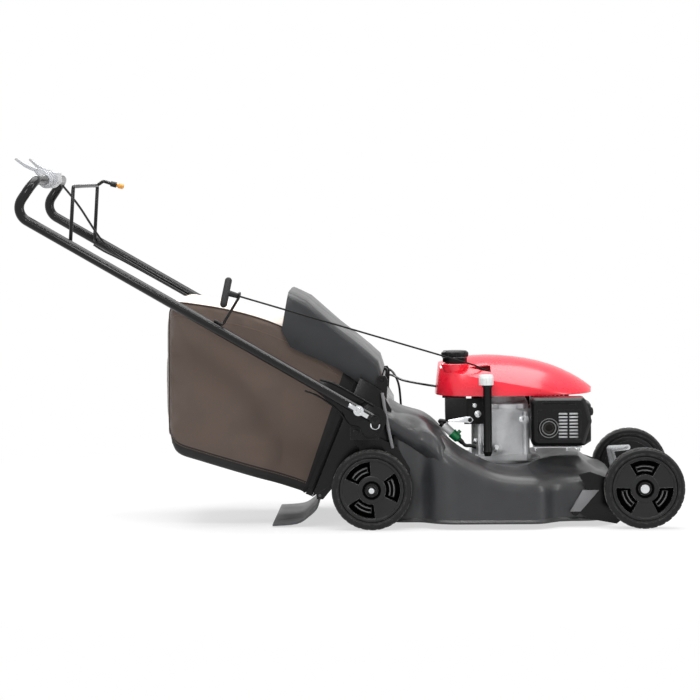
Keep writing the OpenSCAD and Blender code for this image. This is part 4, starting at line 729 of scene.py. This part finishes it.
# Ridge over the tunnel: x, then heights of its top, shoulder, crease and foot, and the foot's half width
RIDGE = [(100, 321, 306, 291, 283, 243), (118, 310, 300, 285, 273, 243), (135, 300, 294, 277, 260, 243),
         (160, 292, 291, 266, 245, 243), (185, 285, 282, 255, 228, 245), (205, 274, 269, 249, 214, 254),
         (220, 262, 255, 240, 204, 262), (238, 243, 236, 222, 188, 270), (256, 216, 212, 200, 168, 262)]
TUNNEL_BEAD = [(91, -238, 344), (98, -240, 300), (106, -241, 255), (116, -241, 204)]
# Raised beads pressed into the handle brackets: x and z
LOWER_BEAD = [(-104, 352), (-79, 343), (-45, 322), (-16, 297), (6, 266), (30, 258), (38, 243), (58, 230),
              (80, 244), (88, 262)]
UPPER_BEAD = [(-66, 380), (-30, 369), (22, 340), (70, 312)]
# Spring clip on each handle bracket: x, how far it stands off the bracket, and z
CLIP = [(62, 2, 268), (63, 2.6, 259), (72, 2.6, 253.5), (81, 2.6, 257), (84, 2, 266)]
BRACKET_Y = 253.4
KNOB_X, KNOB_Y, KNOB_Z = 32, 287.6, 303.3
PATCH_OUTER, PATCH_INNER = 234.6, 221.5


def tunnel_ridge():
    """Raised roof over the rear of the deck, from a little left of the middle out to its right edge."""
    bm = bmesh.new()
    rows = []
    for x, top, shoulder, crease, foot, half in curve(RIDGE, 5):
        section = [(-20, top - 16), (10, top - 5), (50, top - 1), (110, top), (165, (top + shoulder) / 2 + 2),
                   (204, shoulder), (214, (shoulder * 2 + crease) / 3), (half - 16, crease),
                   (half - 12, crease - 3), (half - 2, foot + 4), (half, foot - 2), (half - 1, foot - 14),
                   (half - 12, foot - 40)]
        rows.append([Vector((x, -y, z)) for y, z in section])
    lofted(bm, rows)
    soft_normals(bm)
    for f in bm.faces:
        f.smooth = True
    obj = piece("tunnel_ridge", bm, ["deck_paint"], "mower", bevel=None)
    thickened(obj, "thickness", 0.0022, -1)
    rounded_out(obj)


tunnel_ridge()

# Rear flange of the tunnel in light grey: a painted highlight along its edge
bm = bmesh.new()
swept(bm, curve(TUNNEL_BEAD, 5), 4.2)
soft_normals(bm)
piece("tunnel_rear_bead", bm, ["patch_and_highlight_grey"], "mower")

# Beads of the handle brackets with their bolt, the spring clips, and the faces of the knobs
for side, hand in HANDS:
    y = side * BRACKET_Y
    bm = bmesh.new()
    swept(bm, curve([(x, y, z) for x, z in LOWER_BEAD], 6), 2.4)
    swept(bm, curve([(x, y, z) for x, z in UPPER_BEAD], 6), 2.8)
    rod(bm, (21.7, y, 246), (21.7, y + side * 5, 246), 8, sides=6)
    soft_normals(bm)
    piece("handle_bracket_beads_" + hand, bm, ["black_paint"], "mower", bevel=0.5)
    bm = bmesh.new()
    swept(bm, curve([(x, y + side * out, z) for x, out, z in CLIP], 6), 1.9, 10)
    soft_normals(bm)
    piece("handle_bracket_clip_" + hand, bm, ["plated_steel"], "mower")
    bm = bmesh.new()
    face = Vector((KNOB_X, side * KNOB_Y, KNOB_Z))
    ring(bm, face, (0, side, 0), 7, 1.4)
    rod(bm, face, face + Vector((0, side * 1.2, 0)), 5.4)
    soft_normals(bm)
    piece("knob_face_" + hand, bm, ["plated_steel"], "knob_" + hand, bevel=0.3)

# Plain grey patch on each front bracket
for side, hand in HANDS:
    bm = bmesh.new()
    y = side * PATCH_OUTER
    lofted(bm, [[Vector((x, y, z)) for x in ends] for ends, z in (((564, 590), 39), ((596, 637), 93))])
    made = bmesh.ops.extrude_face_region(bm, geom=bm.faces[:])["geom"]
    bmesh.ops.translate(bm, vec=(0, side * (PATCH_INNER - PATCH_OUTER), 0),
                        verts=[g for g in made if isinstance(g, bmesh.types.BMVert)])
    bmesh.ops.recalc_face_normals(bm, faces=bm.faces)
    piece("front_bracket_patch_" + hand, bm, ["patch_and_highlight_grey"], "mower", bevel=0.6)


# ---------------------------------------------------------------- engine details

FILLER, OUTLET = Vector((276, -92, 411)), Vector((513, -199, 248))
COLLAR = [(25, -3), (34.5, -3.4), (36, -5), (35, -11), (30, -22), (23, -40), (20, -40)]
# Bolts on the crankcase and the tank: x, y, z and radius
BOLTS = [(380, -110, 188, 7.5), (334, -116, 278, 6.5), (447, -110, 264, 5.5), (329, -93, 206, 5),
         (326, -116, 300, 4)]
# Places along the mower of the bolts that hold the muffler down
MUFFLER_BOLTS = (480, 561, 590)

bm = bmesh.new()
turned(bm, COLLAR, 64, closed=True)
soft_normals(bm)
piece("filler_collar", bm, ["engine_red"], "mower", place=Matrix.Translation(FILLER))

# Thin light ring round the fuel cap's step: a painted highlight
bm = bmesh.new()
ring(bm, FILLER + Vector((0, 0, 12.6)), (0, 0, 1), 33.2, 0.9, 64)
soft_normals(bm)
piece("fuel_cap_step_highlight", bm, ["painted_highlight_grey"], "fuel_cap")

bm = bmesh.new()
for x, y, z, r in BOLTS:
    rod(bm, (x, y, z), (x, y - 1.6, z), r * 1.35)
    rod(bm, (x, y - 1.6, z), (x, y - 6, z), r, sides=6)
    rod(bm, (x, y - 6, z), (x, y - 8, z), r * 0.5)
for x in MUFFLER_BOLTS:
    rod(bm, (x, -160, 186), (x, -160, 197), 4.5, sides=6)
    rod(bm, (x, -160, 194), (x, -160, 196), 8)
soft_normals(bm)
piece("engine_bolts", bm, ["plated_steel"], "mower", bevel=0.3)

bm = bmesh.new()
block(bm, (534, -188.6, 219), (590, -187.6, 290))
block(bm, (474, -176, 196), (598, -120, 198.4))
bmesh.ops.recalc_face_normals(bm, faces=bm.faces)
piece("muffler_heat_shield", bm, ["cast_alloy"], "mower", bevel=0.3)

# Two light rings round the muffler's outlet: painted highlights
bm = bmesh.new()
ring(bm, OUTLET, (0, -1, 0), 17, 1.6)
ring(bm, OUTLET - Vector((0, 1, 0)), (0, -1, 0), 24, 1.1)
soft_normals(bm)
piece("muffler_outlet_highlight_rings", bm, ["painted_highlight_grey"], "mower")

# Fuel filter: its lower end, the way it runs, and where its body and its pale half end along it
FILTER_END, FILTER_RUN = Vector((245, -112, 250)), Vector((0.7295, 0, -0.684))
FILTER_LENGTH, PALE_LENGTH = 57.1, 30
# Parts of the filter: where each starts and ends along it, and its radius at either end
FILTER_PARTS = [(-8, 0.5, 8.5, 8.5), (0, 31, 10.4, 10.4), (30, 34, 12.6, 12.6), (33, 52, 12.2, 11.6),
                (51, 57, 11.6, 6), (FILTER_LENGTH, 68, 6.4, 6)]


def fuel_filter():
    """Pale upper half, green lower half with its drain lug, and dark hose ends."""
    start, run = FILTER_END, FILTER_RUN
    bm = bmesh.new()
    for a, b, r0, r1 in FILTER_PARTS:
        rod(bm, start + run * a, start + run * b, r0, r1, 32)
    rod(bm, start + run * 42, start + run * 42 + Vector((13, 0, 14)), 5, 4.4)
    swept(bm, curve([start + run * 66, start + run * 78, (314, -112, 196), (329, -112, 192)], 5), 4.6, 14)
    swept(bm, curve([start - run * 6, start - run * 12 + Vector((0, 0, 3)), (257, -118, 258)], 5), 5, 14)
    soft_normals(bm)
    pale, green, dark = 0, 1, 2
    for f in bm.faces:
        down = (f.calc_center_median() - start).dot(run)
        if down < 0 or down > FILTER_LENGTH:
            f.material_index = dark
        else:
            f.material_index = pale if down < PALE_LENGTH else green
    piece("fuel_filter_body", bm, ["pale_plastic", "filter_plastic", "cable_jacket"], "mower",
          ["fuel_filter"], 0.4)


fuel_filter()


# ---------------------------------------------------------------- cables and rope

PIVOT, BAR = Vector((72, 0, 280)), Vector((-778, 0, 889))
HANDLE_Y, SLOPE = 265.75, 0.582
BRAKE_IN, DRIVE_IN = Vector((229, -40, 344)), Vector((132, 192, 160))
GUARD_X, GUARD_Z = 90, 372
ROPE_FROM, ROPE_TO = Vector((-267, -268, 593)), Vector((327, -122, 404))
ROPE_STEPS = 40


def by_tube(along, side, up):
    """Place beside the left handle tube, at a distance along it from the pivot."""
    return (PIVOT.x - along, HANDLE_Y + side, PIVOT.z + SLOPE * along + up)


def bends_at_pivot(obj):
    """Moves the piece's place into its own mesh."""
    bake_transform(obj)


def cable(name, path, r, skin, stands_for):
    bm = bmesh.new()
    swept(bm, path, r, 14)
    soft_normals(bm)
    obj = piece(name, bm, [skin], None, [stands_for])
    bends_at_pivot(obj)


BRAKE_RUN = [
    by_tube(768, -23, -14), by_tube(740, -19, -16), by_tube(680, -17, -12), by_tube(550, -17, -10),
    by_tube(330, -17, -10), by_tube(150, -22, 0), by_tube(50, -27, 26), (GUARD_X + 4, 212, GUARD_Z - 15),
    (GUARD_X + 50, 120, GUARD_Z - 24), (GUARD_X + 100, -10, GUARD_Z - 24), BRAKE_IN]
DRIVE_RUN = [
    (BAR.x + 28, 50, BAR.z - 16), (BAR.x + 60, 120, BAR.z - 70), (BAR.x + 120, 226, BAR.z - 180),
    by_tube(640, -25, -6), by_tube(400, -25, -6), by_tube(170, -30, 4), by_tube(60, -32, 52),
    (GUARD_X + 2, 220, GUARD_Z + 2), (DRIVE_IN.x - 9, DRIVE_IN.y, GUARD_Z - 28),
    (DRIVE_IN.x, DRIVE_IN.y, GUARD_Z - 86), DRIVE_IN + Vector((0, 0, 60)), DRIVE_IN,
    DRIVE_IN - Vector((0, 0, 24)), DRIVE_IN + Vector((-14, 0, -39)), DRIVE_IN + Vector((-38, -2, -48)),
    (69.6, 187, 95), (50.1, 184, 82)]
ROPE_END = [ROPE_TO, (350, -105, 392), (374, -86, 383), (398, -63, 376)]
rope_run = [ROPE_FROM.lerp(ROPE_TO, i / ROPE_STEPS) for i in range(ROPE_STEPS)] + curve(ROPE_END, 8)

cable("brake_cable_jacket", curve(BRAKE_RUN, 10), 3, "cable_jacket", "brake_cable")
cable("drive_cable_jacket", curve(DRIVE_RUN, 8), 3, "cable_jacket", "drive_cable")
cable("starter_rope_line", rope_run, 2.25, "cord", "starter_rope")


# ---------------------------------------------------------------- grass bag

# Sections from the mouth to the rear: low point x and z, high point x and z, half width
BAG_ROWS = [(-108, 84, 17, 386, 165), (-112, 82, 5, 396, 166), (-127, 88, -29, 432, 167),
            (-151, 96, -83, 474, 167), (-185, 107, -159, 512, 169), (-237, 124, -219, 538, 192),
            (-307, 146, -297, 560, 200), (-377, 168, -373, 574, 202), (-427, 184, -425, 580, 198),
            (-445, 202, -443, 572, 190), (-455, 236, -451, 552, 174)]
# Rings of the rear panel: share of the last section's size, and how far each stands out
REAR_RINGS = ((0.93, 4), (0.8, 7), (0.62, 9), (0.42, 10.5), (0.22, 11.5))
# Upper edge of the black bottom on the bag's sides, x and z, and its height on the rear panel
BINDING_EDGE = [(-462, 221), (-341, 172), (-175, 116), (-120, 86)]
BINDING_REAR = 232
BAG_CORNER, BAG_LENGTHS = 22, 46
# Points of a section, from the middle of the bottom up its right side to the middle of the top
TURN, WIDE, TALL, BIND = 6, 12, 22, 3
LOW_SEAM, BINDING_AT = WIDE + TURN // 2, WIDE + TURN + BIND
TOP_SEAM = BINDING_AT + TALL + TURN // 2
RING = 2 * (WIDE + TURN + BIND + TALL + TURN + WIDE)
# Section that the weave is measured round, and metres of cloth from one section to the next
WEAVE_RING, WEAVE_STEP = 20, 0.0125
# The guard lies on the cloth from here forwards, in metres
UNDER_GUARD = -0.175
CLOTH_FRAMES, MOST_SAG = 20, 0.009
# Length, gap and radius of the stitches
STITCH, STITCH_GAP, THREAD_R = 4.2, 1.8, 0.55


def binding_height(x):
    for (x0, z0), (x1, z1) in zip(BINDING_EDGE, BINDING_EDGE[1:]):
        if x <= x1:
            return z0 + (z1 - z0) * max(0, (x - x0) / (x1 - x0))
    return BINDING_EDGE[-1][1]


def bag_ring(row):
    """Section of the bag: a box with round corners, its panels a little full behind the guard."""
    low, high, half = Vector((row[0], 0, row[1])), Vector((row[2], 0, row[3])), row[4]
    tall = (high - low).length
    up = (high - low) / tall
    reach, rise = half - BAG_CORNER, tall - 2 * BAG_CORNER
    bind = min(0.3, max(0.02, (binding_height(row[0]) + 4 - low.z - BAG_CORNER) / rise))
    steps = [bind * k / BIND for k in range(BIND)] + [bind + (1 - bind) * k / TALL for k in range(TALL)]
    turns = [math.pi / 2 * k / TURN for k in range(TURN)]
    full = 8 * min(1, max(0, (-170 - row[2]) / 90))
    flat = [(reach * k / WIDE, full * (1 - (k / WIDE) ** 2)) for k in range(WIDE)]
    right = [(y, -0.4 * f) for y, f in flat]
    right += [(reach + BAG_CORNER * math.sin(t), BAG_CORNER - BAG_CORNER * math.cos(t)) for t in turns]
    right += [(half + full * 1.6 * s * (1 - s), BAG_CORNER + rise * s) for s in steps]
    right += [(reach + BAG_CORNER * math.cos(t), tall - BAG_CORNER + BAG_CORNER * math.sin(t)) for t in turns]
    right += [(reach - y, tall + 1.5 * (full - f)) for y, f in flat]
    left = [(0, tall + 1.5 * full)] + right[:0:-1]
    return ([low + up * t - Vector((0, y, 0)) for y, t in right]
            + [low + up * t + Vector((0, y, 0)) for y, t in left])


def bag_rings():
    rings = [bag_ring(row) for row in evenly(curve(BAG_ROWS, 8), BAG_LENGTHS)]
    edge = rings[-1]
    middle = sum(edge, Vector()) / len(edge)
    return rings + [[middle.lerp(p, share) - Vector((out, 0, 0)) for p in edge] for share, out in REAR_RINGS]


def bag_shell(rings):
    """Cloth skin through the rings, with the number of its ring and its place in it for each vertex."""
    bm = bmesh.new()
    start = bmesh.ops.create_circle(bm, cap_ends=False, segments=RING, radius=1)["verts"]
    place = {v: (0, i) for i, v in enumerate(start)}
    edges = list(bm.edges)
    for j in range(1, len(rings)):
        fresh, edges = extruded(bm, edges)
        for v in fresh:
            before = next(e.other_vert(v) for e in v.link_edges if e.other_vert(v) not in fresh)
            place[v] = (j, place[before][1])
    bmesh.ops.holes_fill(bm, edges=edges, sides=0)
    for v, (j, i) in place.items():
        v.co = rings[j][i]
    bmesh.ops.recalc_face_normals(bm, faces=bm.faces)
    return bm, place


def map_cloth(bm, place, rings):
    """Lays the weave along and across each panel, in metres."""
    uv = bm.loops.layers.uv.new("cloth")
    around = [0.0]
    for i in range(RING):
        around.append(around[-1] + (rings[WEAVE_RING][(i + 1) % RING] - rings[WEAVE_RING][i]).length)
    for f in bm.faces:
        spots = [place[c.vert] for c in f.loops]
        wraps = max(i for _, i in spots) - min(i for _, i in spots) > RING / 2
        for c, (j, i) in zip(f.loops, spots):
            if min(q for q, _ in spots) >= BAG_LENGTHS - 1:
                c[uv].uv = (c.vert.co.y * MM, c.vert.co.z * MM)
            else:
                c[uv].uv = (around[i + (RING if wraps and i < RING / 2 else 0)] * MM, j * WEAVE_STEP)


def colour_panels(bm, place):
    """Brown sides and rear, pale top, and a black bottom and mouth."""
    brown, pale, black = 0, 1, 2
    for f in bm.faces:
        spots = [place[v] for v in f.verts]
        j, i = min(q for q, _ in spots), min(q for _, q in spots)
        side = min(i, RING - 1 - i)
        rear = j >= BAG_LENGTHS - 1
        low = f.calc_center_median().z < BINDING_REAR if rear else side < BINDING_AT
        if j < 1 or low:
            f.material_index = black
        elif side >= TOP_SEAM and not rear:
            f.material_index = pale
        else:
            f.material_index = brown
        f.smooth = True


def held_points(mesh, index):
    """Vertices that stay put: mouth, bottom, seams, rear edge, and the cloth under the guard."""
    held = []
    for (j, i), n in index.items():
        side = min(i, RING - i)
        near_seam = min(abs(side - TOP_SEAM), abs(side - LOW_SEAM)) < 2
        under_guard = mesh.vertices[n].co.x > UNDER_GUARD
        rear_edge = abs(j - BAG_LENGTHS + 1) < 2
        if j < 2 or near_seam or under_guard or rear_edge or side <= BINDING_AT:
            held.append(n)
    return held


def settle(mesh, held):
    """Lets the cloth hang and swell between its held points, by no more than a little."""
    obj = bpy.data.objects.new("settling", mesh.copy())
    scene.collection.objects.link(obj)
    obj.vertex_groups.new(name="held").add(held, 1.0, "REPLACE")
    cloth = obj.modifiers.new("cloth", "CLOTH")
    cloth.settings.quality = 5
    cloth.settings.mass = 0.2
    cloth.settings.tension_stiffness = cloth.settings.compression_stiffness = 20
    cloth.settings.bending_stiffness = 0.35
    cloth.settings.shrink_min = -0.012
    cloth.settings.use_pressure = True
    cloth.settings.uniform_pressure_force = 1.2
    cloth.settings.vertex_group_mass = "held"
    cloth.settings.effector_weights.gravity = 0.25
    cloth.point_cache.frame_start, cloth.point_cache.frame_end = 1, CLOTH_FRAMES
    for frame_number in range(1, CLOTH_FRAMES + 1):
        scene.frame_set(frame_number)
    settled = obj.evaluated_get(bpy.context.evaluated_depsgraph_get()).data
    for before, after in zip(mesh.vertices, settled.vertices):
        step = after.co - before.co
        before.co += step * min(1, MOST_SAG / max(1e-9, step.length))
    scene.frame_set(1)
    bpy.data.objects.remove(obj)


def stitches(bm, path):
    """Row of thread stitches along a path."""
    total = sum((b - a).length for a, b in zip(path, path[1:]))
    spots = evenly(path, max(4, 2 * int(total / (STITCH + STITCH_GAP))))
    for a, b in zip(spots[::2], spots[1::2]):
        rod(bm, a, a.lerp(b, 1.15), THREAD_R, sides=6)


def grass_bag():
    """Cloth of the bag, then the piping, mouth binding and stitches that lie on it."""
    rings = bag_rings()
    bm, place = bag_shell(rings)
    map_cloth(bm, place, rings)
    colour_panels(bm, place)
    bm.verts.index_update()
    index = {spot: v.index for v, spot in place.items()}
    obj = piece("bag_cloth", bm, ["bag_cloth", "bag_top", "bag_binding"], "bag", ["bag_fabric"],
                None)
    mesh = obj.data
    settle(mesh, held_points(mesh, index))
    thickened(obj, "cloth_thickness", 0.0014, -1)
    rounded_out(obj)

    def seam(i, out):
        """Run along the bag through one point of each section, moved outwards."""
        path = []
        for j in range(2, BAG_LENGTHS):
            at, low, high = [mesh.vertices[index[(j, k)]].co / MM for k in (i, 0, RING // 2)]
            path.append(at + (at - low.lerp(high, 0.5)).normalized() * out)
        return path

    def hoop(j, out):
        """Run round one section, moved outwards and back to its first point."""
        path = [mesh.vertices[index[(j, i)]].co / MM for i in range(RING)]
        middle = sum(path, Vector()) / RING
        path = [p + (p - middle).normalized() * out for p in path]
        return path + path[:1]

    bm = bmesh.new()
    for i in (TOP_SEAM, RING - TOP_SEAM):
        swept(bm, seam(i, 0.6), 2.0, 8)
    swept(bm, hoop(BAG_LENGTHS - 1, 0.4), 2.2, 8)
    soft_normals(bm)
    piece("bag_piping", bm, ["bag_piping"], "bag")

    # Flat binding over the joint between the cloth and its frame
    bm = bmesh.new()
    to_frame = Vector((0.924, 0, -0.382)) * 9
    mouth = hoop(0, 1.2)
    lofted(bm, [[p + to_frame for p in mouth], mouth, hoop(1, 1.4), hoop(2, 1.2)])
    soft_normals(bm)
    bound = piece("bag_mouth_binding", bm, ["bag_binding"], "bag", bevel=None)
    thickened(bound, "thickness", 0.0012, 0)

    bm = bmesh.new()
    for i in (TOP_SEAM - 4, RING - TOP_SEAM + 4, BINDING_AT - 1, RING - BINDING_AT + 1):
        stitches(bm, seam(i, 0.5))
    stitches(bm, hoop(BAG_LENGTHS - 3, 0.5))
    soft_normals(bm)
    piece("bag_stitches", bm, ["bag_thread"], "bag")


grass_bag()
